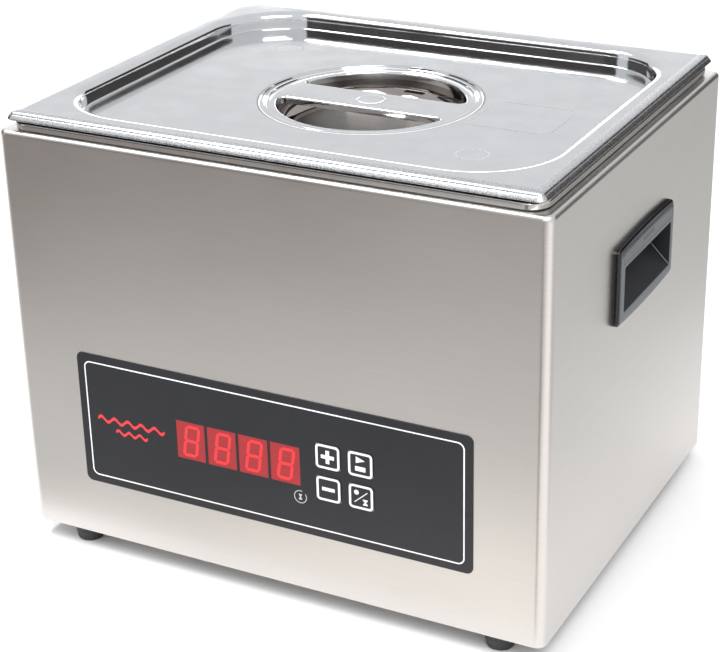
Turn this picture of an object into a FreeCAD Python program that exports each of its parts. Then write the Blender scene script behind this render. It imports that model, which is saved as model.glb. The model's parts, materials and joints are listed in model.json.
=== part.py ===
"""Countertop sous vide water-bath circulator, one STEP per physical piece.

Millimetres, +Z up. The origin is on the floor, under the centre of the body,
and the control panel faces -Y.
"""
import FreeCAD
import Part
import math
import os

V = FreeCAD.Vector
X_AXIS = V(1, 0, 0)
Y_AXIS = V(0, 1, 0)
Z_AXIS = V(0, 0, 1)

# ---- driving dimensions -----------------------------------------------------
SHEET = 1.0

# Housing
BODY_W = 335.0
BODY_D = 268.4
BODY_H = 250.0
FOOT_H = 12.0
BODY_CORNER_R = 6.0
BODY_TOP_R = 3.0
BODY_BOTTOM = FOOT_H
BODY_TOP = FOOT_H + BODY_H
FRONT_Y = -BODY_D / 2
BACK_Y = BODY_D / 2
SIDE_X = BODY_W / 2

# Base plate and feet
BASE_RECESS = 2.0
BASE_GAP = 0.5
BASE_LIP_H = 14.0
BASE_Z = BODY_BOTTOM + BASE_RECESS
FOOT_X = 137.0
FOOT_Y = 121.0
FOOT_TOP_R = 10.0
FOOT_LOW_R = 8.0
FOOT_SCREW_R = 2.0

# Tank: half-size gastronorm pan, 150 deep
TANK_FLANGE_W = 323.0
TANK_FLANGE_D = 262.5
TANK_FLANGE_R = 12.0
TANK_TOP = BODY_TOP + 4.6
TANK_RIM_H = 3.8
TANK_OPEN_W = 293.0
TANK_OPEN_D = 233.0
TANK_OPEN_R = 46.0
TANK_DEEP = 150.0
TANK_FLOOR = TANK_TOP - TANK_DEEP
TANK_FLOOR_R = 13.0
TANK_UNDER = TANK_FLOOR - SHEET

# Lid
LID_W = 325.0
LID_D = 265.0
LID_R = 5.0
LID_EDGE_R = 3.8
LID_TOP = BODY_TOP + 10.6
LID_HEM = 2.6
WELL_W = 288.0
WELL_D = 228.0
WELL_R = 45.0
LIP_BEND_R = 4.0
WELL_FOOT_R = 2.0
PLATEAU = LID_TOP - 10.2
RING_R = 65.1
RING_STEP = 1.0
DISH_R = 56.2
DISH_FLOOR = PLATEAU - 18.0
DISH_FLOOR_R = 9.0
BAR_W = 25.8
BAR_LIP = 4.0

# Control panel on the front wall
PANEL_X = 0.2
PANEL_W = 251.8
PANEL_H = 84.4
PANEL_Z = 91.0
PANEL_R = 4.0
FILM = 0.5
WINDOW_W = 18.9
WINDOW_H = 24.1
WINDOW_Z = 90.8
WINDOW_FIRST_X = -50.4
WINDOW_PITCH = 20.6
KEY_COL_X = (38.7, 58.95)
KEY_ROW_Z = (101.2, 80.95)
KEY_SIZE = 15.6
KEY_R = 2.5
KEY_GAP = 0.3
KEY_LIFT = 0.45
PLUNGER_R = 2.0

# Side grips
GRIP_Y = 0.0
GRIP_W = 90.0
GRIP_LOW = 164.8
GRIP_HIGH = 213.0
GRIP_ARCH = 1.5
GRIP_PROUD = 4.0
GRIP_CORNER_R = 3.5
GRIP_EDGE_R = 1.5
GRIP_WALL = 1.5
GRIP_MOUTH_Y = (-35.7, 39.2)
GRIP_MOUTH_Z = (173.0, 198.8)
GRIP_POCKET_TOP = 204.5
GRIP_DEEP = 16.0

# Display board behind the panel
BOARD_MID_Z = 91.5
BOARD_STUD_X = 73.0
BOARD_STUD_Z = 24.0

# Boards and parts on the base plate, as (x, y) places
CONTROL_AT = (-75.0, -62.0)
SINK_AT = (100.0, -60.0)
CORE_AT = (104.0, 40.0)
TERMINAL_AT = (10.0, 105.0)
EARTH_AT = (-120.0, 96.0)
CUTOUT_AT = (-75.0, -35.0)

# Temperature probe through the tank's right wall
PROBE_Y = -40.0
PROBE_Z = TANK_FLOOR + 21.5

# Circulating pump
PUMP_Y = 65.0
SPINDLE_R = 2.0
RUNNING_GAP = 0.05
IMPELLER_R = 26.0
BLADES = 6
CAGE_R = 34.0
CAGE_TOP = TANK_FLOOR + 24.0
MOTOR_R = 30.0
MOTOR_TOP = 104.0
MOTOR_H = 44.0
MAGNET_R = 22.0

# False bottom
RACK_W = 276.0
RACK_D = 216.0
RACK_R = 38.0
RACK_Z = TANK_FLOOR + 28.5
RACK_LEG_X = 112.0
RACK_LEG_Y = 74.0

# Mains side of the back wall
INLET_X = -105.0
SWITCH_X = -62.0
FUSE_X = -139.0
MAINS_Z = 52.0
ROCKER_HALF = 6.6
PIVOT_IN = 3.5
PIVOT_R = 1.0


# ---- helpers ----------------------------------------------------------------
def block(width, depth, low, high, radius=0.0, centre=(0.0, 0.0)):
    """Upright box about a centre, its four vertical edges rounded."""
    corner = V(centre[0] - width / 2, centre[1] - depth / 2, low)
    box = Part.makeBox(width, depth, high - low, corner)
    if radius > 0:
        box = box.makeFillet(radius, upright_edges(box))
    return box


def slab(centre, size, y_low, y_high, radius=0.0):
    """Plate that faces the Y axis; centre and size are (x, z) pairs."""
    corner = V(centre[0] - size[0] / 2, y_low, centre[1] - size[1] / 2)
    box = Part.makeBox(size[0], y_high - y_low, size[1], corner)
    if radius > 0:
        box = box.makeFillet(radius, [e for e in box.Edges if is_along(e, Y_AXIS)])
    return box


def is_along(edge, axis):
    if not isinstance(edge.Curve, (Part.Line, Part.LineSegment)):
        return False
    run = edge.Vertexes[-1].Point - edge.Vertexes[0].Point
    return abs(abs(run.normalize().dot(axis)) - 1.0) < 1e-6


def upright_edges(shape):
    return [e for e in shape.Edges if is_along(e, Z_AXIS)]


def level_edges(shape, z):
    """Edges that lie flat at one height."""
    near = 1e-4
    return [e for e in shape.Edges
            if abs(e.BoundBox.ZMin - z) < near and abs(e.BoundBox.ZMax - z) < near]


def rod(radius, low, high, x=0.0, y=0.0):
    return Part.makeCylinder(radius, high - low, V(x, y, low), Z_AXIS)


def rod_y(radius, low, high, x, z):
    return Part.makeCylinder(radius, high - low, V(x, low, z), Y_AXIS)


def tube(outer, inner, low, high, x=0.0, y=0.0):
    return rod(outer, low, high, x, y).cut(rod(inner, low - 1, high + 1, x, y))


def prism(points, y_low, y_high):
    """Solid with an outline in the XZ plane, pulled along Y."""
    corners = [V(x, y_low, z) for x, z in points]
    face = Part.Face(Part.makePolygon(corners + corners[:1]))
    return face.extrude(V(0, y_high - y_low, 0))


def joined(shapes):
    body = shapes[0]
    if len(shapes) > 1:
        body = body.fuse(shapes[1:])
    return body.removeSplitter()


def group(shapes):
    """Identical loose pieces that share one node."""
    return Part.makeCompound(shapes)


def mirrored_x(shape):
    return shape.mirror(V(0, 0, 0), X_AXIS)


def corner_pairs(x, y):
    return [(sx * x, sy * y) for sx in (-1, 1) for sy in (-1, 1)]


def save(name, shape):
    for solid in shape.Solids:
        if not solid.isValid() or solid.Volume <= 0:
            raise ValueError(name + " is not a sound solid")
    shape.exportStep("parts/" + name + ".step")
    print(name, len(shape.Solids), round(shape.Volume / 1000.0, 2), "cm3")


# ---- housing ----------------------------------------------------------------
def key_places():
    return {
        "key_plus": (KEY_COL_X[0], KEY_ROW_Z[0]),
        "key_start_stop": (KEY_COL_X[1], KEY_ROW_Z[0]),
        "key_minus": (KEY_COL_X[0], KEY_ROW_Z[1]),
        "key_mode": (KEY_COL_X[1], KEY_ROW_Z[1]),
    }


def window_places():
    return [WINDOW_FIRST_X + WINDOW_PITCH * i for i in range(4)]


def housing_shell():
    """Folded and welded stainless sheet: four walls and the top."""
    outer = block(BODY_W, BODY_D, BODY_BOTTOM, BODY_TOP, BODY_CORNER_R)
    outer = outer.makeFillet(BODY_TOP_R, level_edges(outer, BODY_TOP))
    inner = block(BODY_W - 2 * SHEET, BODY_D - 2 * SHEET, BODY_BOTTOM, BODY_TOP - SHEET,
                  BODY_CORNER_R - SHEET)
    inner = inner.makeFillet(BODY_TOP_R - SHEET, level_edges(inner, BODY_TOP - SHEET))
    well = block(TANK_OPEN_W + 5, TANK_OPEN_D + 5, BODY_TOP - 10, BODY_TOP + 1, TANK_OPEN_R + 2.5)
    cuts = [inner, well]
    wall = (FRONT_Y - 1, FRONT_Y + 2)
    middle = sum(window_places()) / 4
    display_w = 3 * WINDOW_PITCH + WINDOW_W - 1
    cuts.append(slab((middle, WINDOW_Z), (display_w, WINDOW_H - 1), *wall))
    for x, z in key_places().values():
        cuts.append(rod_y(PLUNGER_R + 1, wall[0], wall[1], x, z))
    back = (BACK_Y - 2, BACK_Y + 1)
    cuts.append(slab((INLET_X, MAINS_Z), (28.6, 20.6), *back, radius=3))
    cuts.append(slab((SWITCH_X, MAINS_Z), (13.2, 19.4), *back))
    cuts.append(rod_y(6.3, back[0], back[1], FUSE_X, MAINS_Z))
    mouth_w = GRIP_MOUTH_Y[1] - GRIP_MOUTH_Y[0] + 4
    mouth_y = (GRIP_MOUTH_Y[0] + GRIP_MOUTH_Y[1]) / 2
    for side in (-1, 1):
        cuts.append(block(6, mouth_w, GRIP_LOW + 4, GRIP_HIGH - 3, 0, (side * SIDE_X, mouth_y)))
    return outer.cut(cuts)


def base_plate():
    """Bottom tray, set up inside the walls, with vent slots."""
    width = BODY_W - 2 * SHEET - 2 * BASE_GAP
    depth = BODY_D - 2 * SHEET - 2 * BASE_GAP
    radius = BODY_CORNER_R - SHEET - BASE_GAP
    tray = block(width, depth, BASE_Z, BASE_Z + BASE_LIP_H, radius)
    hollow = block(width - 2 * SHEET, depth - 2 * SHEET, BASE_Z + SHEET, BASE_Z + BASE_LIP_H + 1,
                   radius - SHEET)
    cuts = [hollow]
    for row in range(6):
        for column in (-1, 1):
            centre = (column * 38.0, -50.0 + row * 12.0)
            cuts.append(block(56, 4, BASE_Z - 1, BASE_Z + SHEET + 1, 1.9, centre))
    for x, y in corner_pairs(FOOT_X, FOOT_Y):
        cuts.append(rod(FOOT_SCREW_R, BASE_Z - 1, BASE_Z + SHEET + 1, x, y))
    return tray.cut(cuts)


def foot(x, y):
    """Turned rubber foot, narrower at the floor, with a sunk screw seat."""
    body = Part.makeCone(FOOT_LOW_R, FOOT_TOP_R, BASE_Z, V(x, y, 0), Z_AXIS)
    body = body.makeFillet(1.2, level_edges(body, 0.0))
    seat = rod(4.2, -1, 5.0, x, y)
    hole = rod(FOOT_SCREW_R, 4, BASE_Z + 1, x, y)
    return body.cut([seat, hole])


def foot_screw(x, y):
    head = rod(4.0, 2.4, 5.0, x, y)
    shank = rod(FOOT_SCREW_R, 5.0, BASE_Z + 6, x, y)
    slot = Part.makeBox(6, 0.9, 1, V(x - 3, y - 0.45, 2.4))
    return joined([head, shank]).cut(slot)


def foot_nut(x, y):
    """Hexagon nut inside the base plate."""
    low = BASE_Z + SHEET
    points = [V(x + 3.8 * math.cos(k * math.pi / 3), y + 3.8 * math.sin(k * math.pi / 3), low)
              for k in range(6)]
    nut = Part.Face(Part.makePolygon(points + points[:1])).extrude(V(0, 0, 3.2))
    return nut.cut(rod(FOOT_SCREW_R, low - 1, low + 5, x, y))


def earth_stud():
    x, y = EARTH_AT
    low = BASE_Z + SHEET
    stud = rod(2.5, low, low + 18, x, y)
    collar = rod(5.5, low, low + 2, x, y)
    nut = rod(4.5, low + 5, low + 9, x, y)
    return joined([stud, collar, nut])


# ---- tank -------------------------------------------------------------------
def tank():
    """Deep-drawn pan with a rolled flange that hangs over the housing."""
    outer = block(TANK_OPEN_W + 2 * SHEET, TANK_OPEN_D + 2 * SHEET, TANK_UNDER, TANK_TOP,
                  TANK_OPEN_R + SHEET)
    outer = outer.makeFillet(TANK_FLOOR_R + SHEET, level_edges(outer, TANK_UNDER))
    inner = block(TANK_OPEN_W, TANK_OPEN_D, TANK_FLOOR, TANK_TOP + 5, TANK_OPEN_R)
    inner = inner.makeFillet(TANK_FLOOR_R, level_edges(inner, TANK_FLOOR))
    flange = block(TANK_FLANGE_W, TANK_FLANGE_D, TANK_TOP - TANK_RIM_H, TANK_TOP, TANK_FLANGE_R)
    flange = flange.makeFillet(1.4, level_edges(flange, TANK_TOP))
    under = block(TANK_FLANGE_W - 2 * SHEET, TANK_FLANGE_D - 2 * SHEET,
                  TANK_TOP - TANK_RIM_H - 1, TANK_TOP - SHEET, TANK_FLANGE_R - SHEET)
    flange = flange.cut(under)
    probe_hole = Part.makeCylinder(3.0, 20, V(TANK_OPEN_W / 2 - 8, PROBE_Y, PROBE_Z), X_AXIS)
    return outer.fuse(flange).cut([inner, probe_hole]).removeSplitter()


def tank_gasket():
    """Silicone frame between the tank's flange and the housing's top."""
    ring = block(TANK_OPEN_W + 23, TANK_OPEN_D + 23, BODY_TOP, TANK_TOP - SHEET, 20)
    hole = block(TANK_OPEN_W + 6, TANK_OPEN_D + 6, BODY_TOP - 1, TANK_TOP, TANK_OPEN_R + 3)
    return ring.cut(hole)


def heater_outline(low, high, shrink):
    """Flat plate under the tank floor, notched for the pump motor."""
    plate = block(250 - shrink, 190 - shrink, low, high, 24)
    notch = block(76 + shrink, 80, low - 1, high + 1, 0, (0, PUMP_Y + 2))
    return plate.cut(notch)


def heater_mat():
    return heater_outline(TANK_UNDER - 2.0, TANK_UNDER, 0)


def heater_clamp():
    return heater_outline(TANK_UNDER - 4.0, TANK_UNDER - 2.0, 6)


def insulation_wrap():
    """Fibre band round the lower half of the tank."""
    high = 158.0
    low = 126.0
    ring = block(TANK_OPEN_W + 26, TANK_OPEN_D + 22, low, high, TANK_OPEN_R + 10)
    hole = block(TANK_OPEN_W + 2 * SHEET, TANK_OPEN_D + 2 * SHEET, low - 1, high + 1,
                 TANK_OPEN_R + SHEET)
    gap = Part.makeBox(30, 22, 60, V(TANK_OPEN_W / 2, PROBE_Y - 11, 110))
    return ring.cut([hole, gap])


def temperature_probe():
    wall = TANK_OPEN_W / 2
    stem = Part.makeCylinder(3.0, 50, V(wall - 40, PROBE_Y, PROBE_Z), X_AXIS)
    tip = Part.makeSphere(3.0, V(wall - 40, PROBE_Y, PROBE_Z))
    collar = Part.makeCylinder(6.0, 2.0, V(wall - 2.0, PROBE_Y, PROBE_Z), X_AXIS)
    return joined([stem, tip, collar])


def probe_nut():
    nut = Part.makeCylinder(7.0, 5.0, V(TANK_OPEN_W / 2 + SHEET, PROBE_Y, PROBE_Z), X_AXIS)
    return nut.cut(Part.makeCylinder(3.0, 9.0, V(TANK_OPEN_W / 2, PROBE_Y, PROBE_Z), X_AXIS))


def overheat_cutout():
    """Disc thermostat clipped under the heater clamp plate."""
    high = TANK_UNDER - 4.0
    x, y = CUTOUT_AT
    flange = rod(11.0, high - 1.5, high, x, y)
    can = rod(8.0, high - 9.0, high - 1.5, x, y)
    blades = [Part.makeBox(0.8, 6, 8, V(x + dx, y - 3, high - 17.0)) for dx in (-5.0, 4.2)]
    return joined([flange, can] + blades)


# ---- pump -------------------------------------------------------------------
def impeller():
    """Open wheel: disc, hub and curved blades."""
    low = TANK_FLOOR + 6.0
    disc = rod(IMPELLER_R, low, low + 1.6, 0, PUMP_Y)
    hub = rod(6.0, low, low + 11, 0, PUMP_Y)
    blades = []
    for k in range(BLADES):
        arc = tube(15.0, 13.6, low + 1.6, low + 9.5, 13.0, PUMP_Y)
        half = block(60, 30, low, low + 20, 0, (13.0, PUMP_Y + 15.0))
        blade = arc.common(half).common(rod(IMPELLER_R, low, low + 20, 0, PUMP_Y))
        blade.rotate(V(0, PUMP_Y, 0), Z_AXIS, 360.0 * k / BLADES)
        blades.append(blade)
    wheel = joined([disc, hub] + blades)
    return wheel.cut(rod(SPINDLE_R + RUNNING_GAP, low - 1, low + 30, 0, PUMP_Y))


def driven_magnet():
    """Magnet ring under the impeller's disc."""
    return tube(MAGNET_R, 9.0, TANK_FLOOR + 2.0, TANK_FLOOR + 6.0, 0, PUMP_Y)


def impeller_spindle():
    foot_disc = rod(7.0, TANK_FLOOR, TANK_FLOOR + 1.2, 0, PUMP_Y)
    pin = rod(SPINDLE_R, TANK_FLOOR, TANK_FLOOR + 20.0, 0, PUMP_Y)
    return joined([foot_disc, pin])


def pump_cage():
    """Slotted cap over the impeller, open in the middle of its top."""
    outer = rod(CAGE_R, TANK_FLOOR, CAGE_TOP, 0, PUMP_Y)
    outer = outer.makeFillet(3.0, level_edges(outer, CAGE_TOP))
    inner = rod(CAGE_R - SHEET, TANK_FLOOR - 1, CAGE_TOP - SHEET, 0, PUMP_Y)
    inner = inner.makeFillet(2.0, level_edges(inner, CAGE_TOP - SHEET))
    cuts = [inner]
    for k in range(12):
        slot = Part.makeBox(12, 5, 13, V(CAGE_R - 6, PUMP_Y - 2.5, TANK_FLOOR + 4))
        slot.rotate(V(0, PUMP_Y, 0), Z_AXIS, 30.0 * k)
        cuts.append(slot)
    for k in range(6):
        angle = k * math.pi / 3
        cuts.append(rod(4.0, CAGE_TOP - 5, CAGE_TOP + 1, 16 * math.cos(angle),
                        PUMP_Y + 16 * math.sin(angle)))
    return outer.cut(cuts)


def pump_motor():
    """Motor can with end caps; the shaft leaves its top."""
    can = rod(MOTOR_R, MOTOR_TOP - MOTOR_H, MOTOR_TOP - 3, 0, PUMP_Y)
    lower = rod(MOTOR_R - 8, MOTOR_TOP - MOTOR_H - 5, MOTOR_TOP - MOTOR_H, 0, PUMP_Y)
    nose = rod(11, MOTOR_TOP - 3, MOTOR_TOP, 0, PUMP_Y)
    bore = rod(2.5 + RUNNING_GAP, MOTOR_TOP - 22, MOTOR_TOP + 1, 0, PUMP_Y)
    return joined([can, lower, nose]).cut(bore)


def motor_shaft():
    return rod(2.5, MOTOR_TOP - 21, MOTOR_TOP + 8.5, 0, PUMP_Y)


def drive_magnet():
    """Hub and magnet disc on the motor shaft, close under the tank floor."""
    hub = rod(7.0, MOTOR_TOP + 1.0, MOTOR_TOP + 4.5, 0, PUMP_Y)
    disc = rod(MAGNET_R, MOTOR_TOP + 4.5, MOTOR_TOP + 10.0, 0, PUMP_Y)
    return joined([hub, disc]).cut(rod(2.5, MOTOR_TOP, MOTOR_TOP + 8.5, 0, PUMP_Y))


def motor_bracket():
    """Plate that hangs the motor from three studs on the tank floor."""
    plate = block(70, 84, MOTOR_TOP - 3, MOTOR_TOP - 1.5, 8, (0, PUMP_Y))
    cuts = [rod(11.0, MOTOR_TOP - 5, MOTOR_TOP, 0, PUMP_Y)]
    for x, y in motor_stud_places():
        cuts.append(rod(2.0, MOTOR_TOP - 5, MOTOR_TOP, x, y))
    return plate.cut(cuts)


def motor_stud_places():
    return [(-28.0, PUMP_Y - 32), (28.0, PUMP_Y - 32), (0.0, PUMP_Y + 36)]


def motor_stud(x, y):
    """Stud from the tank floor through the bracket, with its spacer."""
    pin = rod(2.0, MOTOR_TOP - 6, TANK_UNDER, x, y)
    spacer = rod(3.5, MOTOR_TOP - 1.5, TANK_UNDER, x, y)
    nut = rod(3.6, MOTOR_TOP - 5.5, MOTOR_TOP - 3, x, y)
    return joined([pin, spacer, nut])


# ---- false bottom -----------------------------------------------------------
def false_bottom():
    """Perforated plate that food pouches rest on."""
    plate = block(RACK_W, RACK_D, RACK_Z, RACK_Z + 1.2, RACK_R)
    holes = []
    for column in range(11):
        for row in range(8):
            x = -115.0 + 23.0 * column
            y = -84.0 + 24.0 * row
            holes.append(rod(4.0, RACK_Z - 1, RACK_Z + 3, x, y))
    return plate.cut(holes)


def rack_leg(x, y):
    return rod(4.0, TANK_FLOOR, RACK_Z, x, y)


# ---- lid --------------------------------------------------------------------
def lid_pan():
    """Pressed lid: rounded hem, sunk well and a round opening for the grip plate."""
    rim = TANK_TOP
    flange = block(LID_W, LID_D, rim, LID_TOP, LID_R)
    flange = flange.makeFillet(LID_EDGE_R, level_edges(flange, LID_TOP))
    under = block(LID_W - 2 * LID_HEM, LID_D - 2 * LID_HEM, rim - 1, LID_TOP - SHEET, 3.2)
    under = under.makeFillet(LID_EDGE_R - SHEET, level_edges(under, LID_TOP - SHEET))
    tray = block(WELL_W + 2 * SHEET, WELL_D + 2 * SHEET, PLATEAU - SHEET, LID_TOP - SHEET,
                 WELL_R + SHEET)
    tray = tray.makeFillet(WELL_FOOT_R + SHEET, level_edges(tray, PLATEAU - SHEET))
    pan = flange.cut(under).fuse(tray).removeSplitter()
    pan = pan.makeFillet(LIP_BEND_R - SHEET, tray_root_edges(pan))
    well = block(WELL_W, WELL_D, PLATEAU, LID_TOP + 1, WELL_R)
    well = well.makeFillet(WELL_FOOT_R, level_edges(well, PLATEAU))
    pan = pan.cut([well, rod(RING_R, PLATEAU - 5, PLATEAU + 1)])
    lip = [e for e in level_edges(pan, LID_TOP) if within_well(e, 0.1)]
    return pan.makeFillet(LIP_BEND_R, lip)


def within_well(edge, slack):
    half = WELL_W / 2 + slack
    return max(abs(edge.BoundBox.XMin), abs(edge.BoundBox.XMax)) < half


def tray_root_edges(pan):
    """Edges where the tray meets the underside of the flange."""
    return [e for e in level_edges(pan, LID_TOP - SHEET) if within_well(e, SHEET + 0.1)]


def lid_grip_plate():
    """Sunk disc with the handle bar between two finger cuts."""
    top = PLATEAU - RING_STEP
    disc = rod(RING_R, top - SHEET, top)
    rim = tube(RING_R, RING_R - SHEET, top - SHEET, PLATEAU)
    plate = joined([disc, rim]).cut(finger_cuts())
    return joined([plate] + bar_lips())


def finger_cuts():
    """Two round segments, in front of and behind the handle bar."""
    low = PLATEAU - RING_STEP - SHEET - 1
    disc = rod(DISH_R, low, PLATEAU + 1)
    bar = block(2 * DISH_R + 4, BAR_W, low - 1, PLATEAU + 2)
    return disc.cut(bar).Solids


def bar_lips():
    """Turned-down edges that stiffen the handle bar."""
    top = PLATEAU - RING_STEP - SHEET
    reach = math.sqrt((DISH_R - 0.8) ** 2 - (BAR_W / 2) ** 2)
    lips = []
    for side in (-1, 1):
        y = side * (BAR_W / 2 - SHEET / 2)
        lips.append(block(2 * reach, SHEET, top - BAR_LIP + SHEET, top + 0.5, 0, (0, y)))
    return lips


def lid_dish():
    """Bowl welded under the grip plate."""
    top = PLATEAU - RING_STEP - SHEET
    outer = rod(DISH_R + SHEET, DISH_FLOOR - SHEET, top)
    outer = outer.makeFillet(DISH_FLOOR_R + SHEET, level_edges(outer, DISH_FLOOR - SHEET))
    collar = rod(DISH_R + 7.5, top - SHEET, top)
    inner = rod(DISH_R, DISH_FLOOR, top + 1)
    inner = inner.makeFillet(DISH_FLOOR_R, level_edges(inner, DISH_FLOOR))
    return joined([outer, collar]).cut(inner)


# ---- control panel ----------------------------------------------------------
def panel_film():
    """Printed front film with openings for the keys and windows."""
    film = slab((PANEL_X, PANEL_Z), (PANEL_W, PANEL_H), FRONT_Y - FILM, FRONT_Y, PANEL_R)
    cuts = []
    for x, z in key_places().values():
        size = KEY_SIZE + 2 * KEY_GAP
        cuts.append(slab((x, z), (size, size), FRONT_Y - 2, FRONT_Y + 1, KEY_R + KEY_GAP))
    for x in window_places():
        cuts.append(slab((x, WINDOW_Z), (WINDOW_W, WINDOW_H), FRONT_Y - 2, FRONT_Y + 1))
    return film.cut(cuts)


def display_window(x):
    return slab((x, WINDOW_Z), (WINDOW_W, WINDOW_H), FRONT_Y - FILM + 0.1, FRONT_Y)


def key(x, z):
    """Raised key of the membrane with the pin that reaches its switch."""
    face = FRONT_Y - FILM - KEY_LIFT
    pad = slab((x, z), (KEY_SIZE, KEY_SIZE), face, face + FILM, KEY_R)
    pin = rod_y(PLUNGER_R, face + FILM, FRONT_Y + 6.0, x, z)
    return joined([pad, pin])


def digit_module(x):
    """Seven-segment module behind its window."""
    return slab((x, WINDOW_Z), (WINDOW_W - 0.6, WINDOW_H - 2), FRONT_Y + SHEET + 0.2, FRONT_Y + 10.0)


def push_switch(x, z):
    body = slab((x, z), (6.2, 6.2), FRONT_Y + 7.5, FRONT_Y + 10.0)
    stem = rod_y(1.7, FRONT_Y + 6.6, FRONT_Y + 7.5, x, z)
    return joined([body, stem])


def display_board():
    board = slab((0, BOARD_MID_Z), (156, 58), FRONT_Y + 10.0, FRONT_Y + 11.6)
    cuts = [rod_y(1.6, FRONT_Y + 9, FRONT_Y + 13, x, z) for x, z in board_stud_places()]
    return board.cut(cuts)


def board_stud_places():
    return [(x, BOARD_MID_Z + z) for x, z in corner_pairs(BOARD_STUD_X, BOARD_STUD_Z)]


def board_stud(x, z):
    """Weld stud on the front wall with a shoulder for the board."""
    stem = rod_y(1.6, FRONT_Y + 10.0, FRONT_Y + 15.0, x, z)
    shoulder = rod_y(3.0, FRONT_Y + SHEET, FRONT_Y + 10.0, x, z)
    nut = rod_y(2.9, FRONT_Y + 11.6, FRONT_Y + 14.0, x, z)
    return joined([stem, shoulder, nut])


# ---- electrics inside the base ----------------------------------------------
def control_board():
    return block(110, 76, BASE_Z + 9, BASE_Z + 10.6, 2, CONTROL_AT)


def board_post(x, y):
    return rod(3.0, BASE_Z + SHEET, BASE_Z + 9, CONTROL_AT[0] + x, CONTROL_AT[1] + y)


def board_capacitor(k):
    top = BASE_Z + 10.6
    can = rod(7.0, top, top + 20, CONTROL_AT[0] - 37 + 17 * k, CONTROL_AT[1] + 24)
    return can.makeFillet(1.0, level_edges(can, top + 20))


def board_relay():
    centre = (CONTROL_AT[0] + 25, CONTROL_AT[1] + 22)
    return block(20, 16, BASE_Z + 10.6, BASE_Z + 26, 0.8, centre)


def board_connector():
    top = BASE_Z + 10.6
    x, y = CONTROL_AT[0], CONTROL_AT[1] - 26
    body = block(44, 10, top, top + 9, 0, (x, y))
    slots = [block(5, 5, top + 4, top + 10, 0, (x - 17 + 8.5 * k, y)) for k in range(5)]
    return body.cut(slots)


def ribbon_cable():
    """Flat cable from the display board down to the control board."""
    wall = FRONT_Y + 11.6
    points = [(wall, 78), (wall + 9, 78), (wall + 9, 33), (wall + 10, 33), (wall + 10, 79),
              (wall, 79)]
    corners = [V(CONTROL_AT[0], y, z) for y, z in points]
    face = Part.Face(Part.makePolygon(corners + corners[:1]))
    return face.extrude(V(20, 0, 0))


def heat_sink():
    """Finned plate; its middle is left flat for the relay."""
    x, y = SINK_AT
    base = block(84, 60, BASE_Z + SHEET, BASE_Z + 7, 0, SINK_AT)
    rows = [y + start + 3.8 * k for start in (-29.0, 17.6) for k in range(4)]
    fins = [block(84, 2, BASE_Z + 7, BASE_Z + 16, 0, (x, row)) for row in rows]
    return joined([base] + fins)


def power_relay():
    """Solid-state relay that switches the heater."""
    low = BASE_Z + 7
    x, y = SINK_AT[0], SINK_AT[1] - 1
    body = block(58, 26, low, low + 22, 2, (x, y))
    screws = [rod(3.4, low + 22, low + 24, x + dx, y + dy) for dx, dy in corner_pairs(22, 7)]
    return joined([body] + screws)


def transformer_core():
    low = BASE_Z + SHEET
    stack = block(66, 34, low, low + 55, 0, CORE_AT)
    windows = [block(11, 40, low + 11, low + 44, 0, (CORE_AT[0] + dx, CORE_AT[1]))
               for dx in (-16.5, 16.5)]
    return stack.cut(windows)


def transformer_coil():
    low = BASE_Z + SHEET + 11.5
    coil = block(43, 52, low, low + 32, 4, CORE_AT)
    hole = block(22, 34, low - 1, low + 33, 0, CORE_AT)
    return coil.cut(hole)


def terminal_places():
    return [(TERMINAL_AT[0] - 25 + 10 * k, TERMINAL_AT[1] - 4) for k in range(6)]


def terminal_block():
    low = BASE_Z + SHEET
    body = block(64, 20, low, low + 18, 0, TERMINAL_AT)
    return body.cut([rod(2.6, low + 8, low + 19, x, y) for x, y in terminal_places()])


def terminal_screw(x, y):
    low = BASE_Z + SHEET
    return rod(2.4, low + 8, low + 15, x, y)


def mains_inlet():
    """Appliance inlet in the back wall: flange, socket and its recess."""
    flange = slab((INLET_X, MAINS_Z), (48, 24), BACK_Y, BACK_Y + 2.4, 5)
    body = slab((INLET_X, MAINS_Z), (28, 20), BACK_Y - 22, BACK_Y, 2.5)
    recess = slab((INLET_X, MAINS_Z), (25, 17), BACK_Y - 18, BACK_Y + 3, 2.2)
    ears = [rod_y(1.7, BACK_Y - 1, BACK_Y + 3, INLET_X + s * 20, MAINS_Z) for s in (-1, 1)]
    return joined([flange, body]).cut([recess] + ears)


def inlet_pin(x, z):
    return slab((INLET_X + x, MAINS_Z + z), (2, 4), BACK_Y - 18, BACK_Y - 3)


def inlet_screw(side):
    x = INLET_X + side * 20
    shank = rod_y(1.7, BACK_Y, BACK_Y + 2.4, x, MAINS_Z)
    head = rod_y(2.9, BACK_Y + 2.4, BACK_Y + 3.6, x, MAINS_Z)
    return joined([shank, head])


def fuse_holder():
    body = rod_y(6.2, BACK_Y - 30, BACK_Y, FUSE_X, MAINS_Z)
    flange = rod_y(8.5, BACK_Y, BACK_Y + 1.6, FUSE_X, MAINS_Z)
    seat = rod_y(4.6, BACK_Y - 20, BACK_Y + 3, FUSE_X, MAINS_Z)
    return joined([body, flange]).cut(seat)


def fuse_cap():
    plug = rod_y(4.5, BACK_Y - 19, BACK_Y + 1.6, FUSE_X, MAINS_Z)
    knob = rod_y(6.2, BACK_Y + 1.6, BACK_Y + 3.8, FUSE_X, MAINS_Z)
    slot = slab((FUSE_X, MAINS_Z), (9, 1.4), BACK_Y + 2.8, BACK_Y + 5)
    return joined([plug, knob]).cut(slot)


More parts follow.
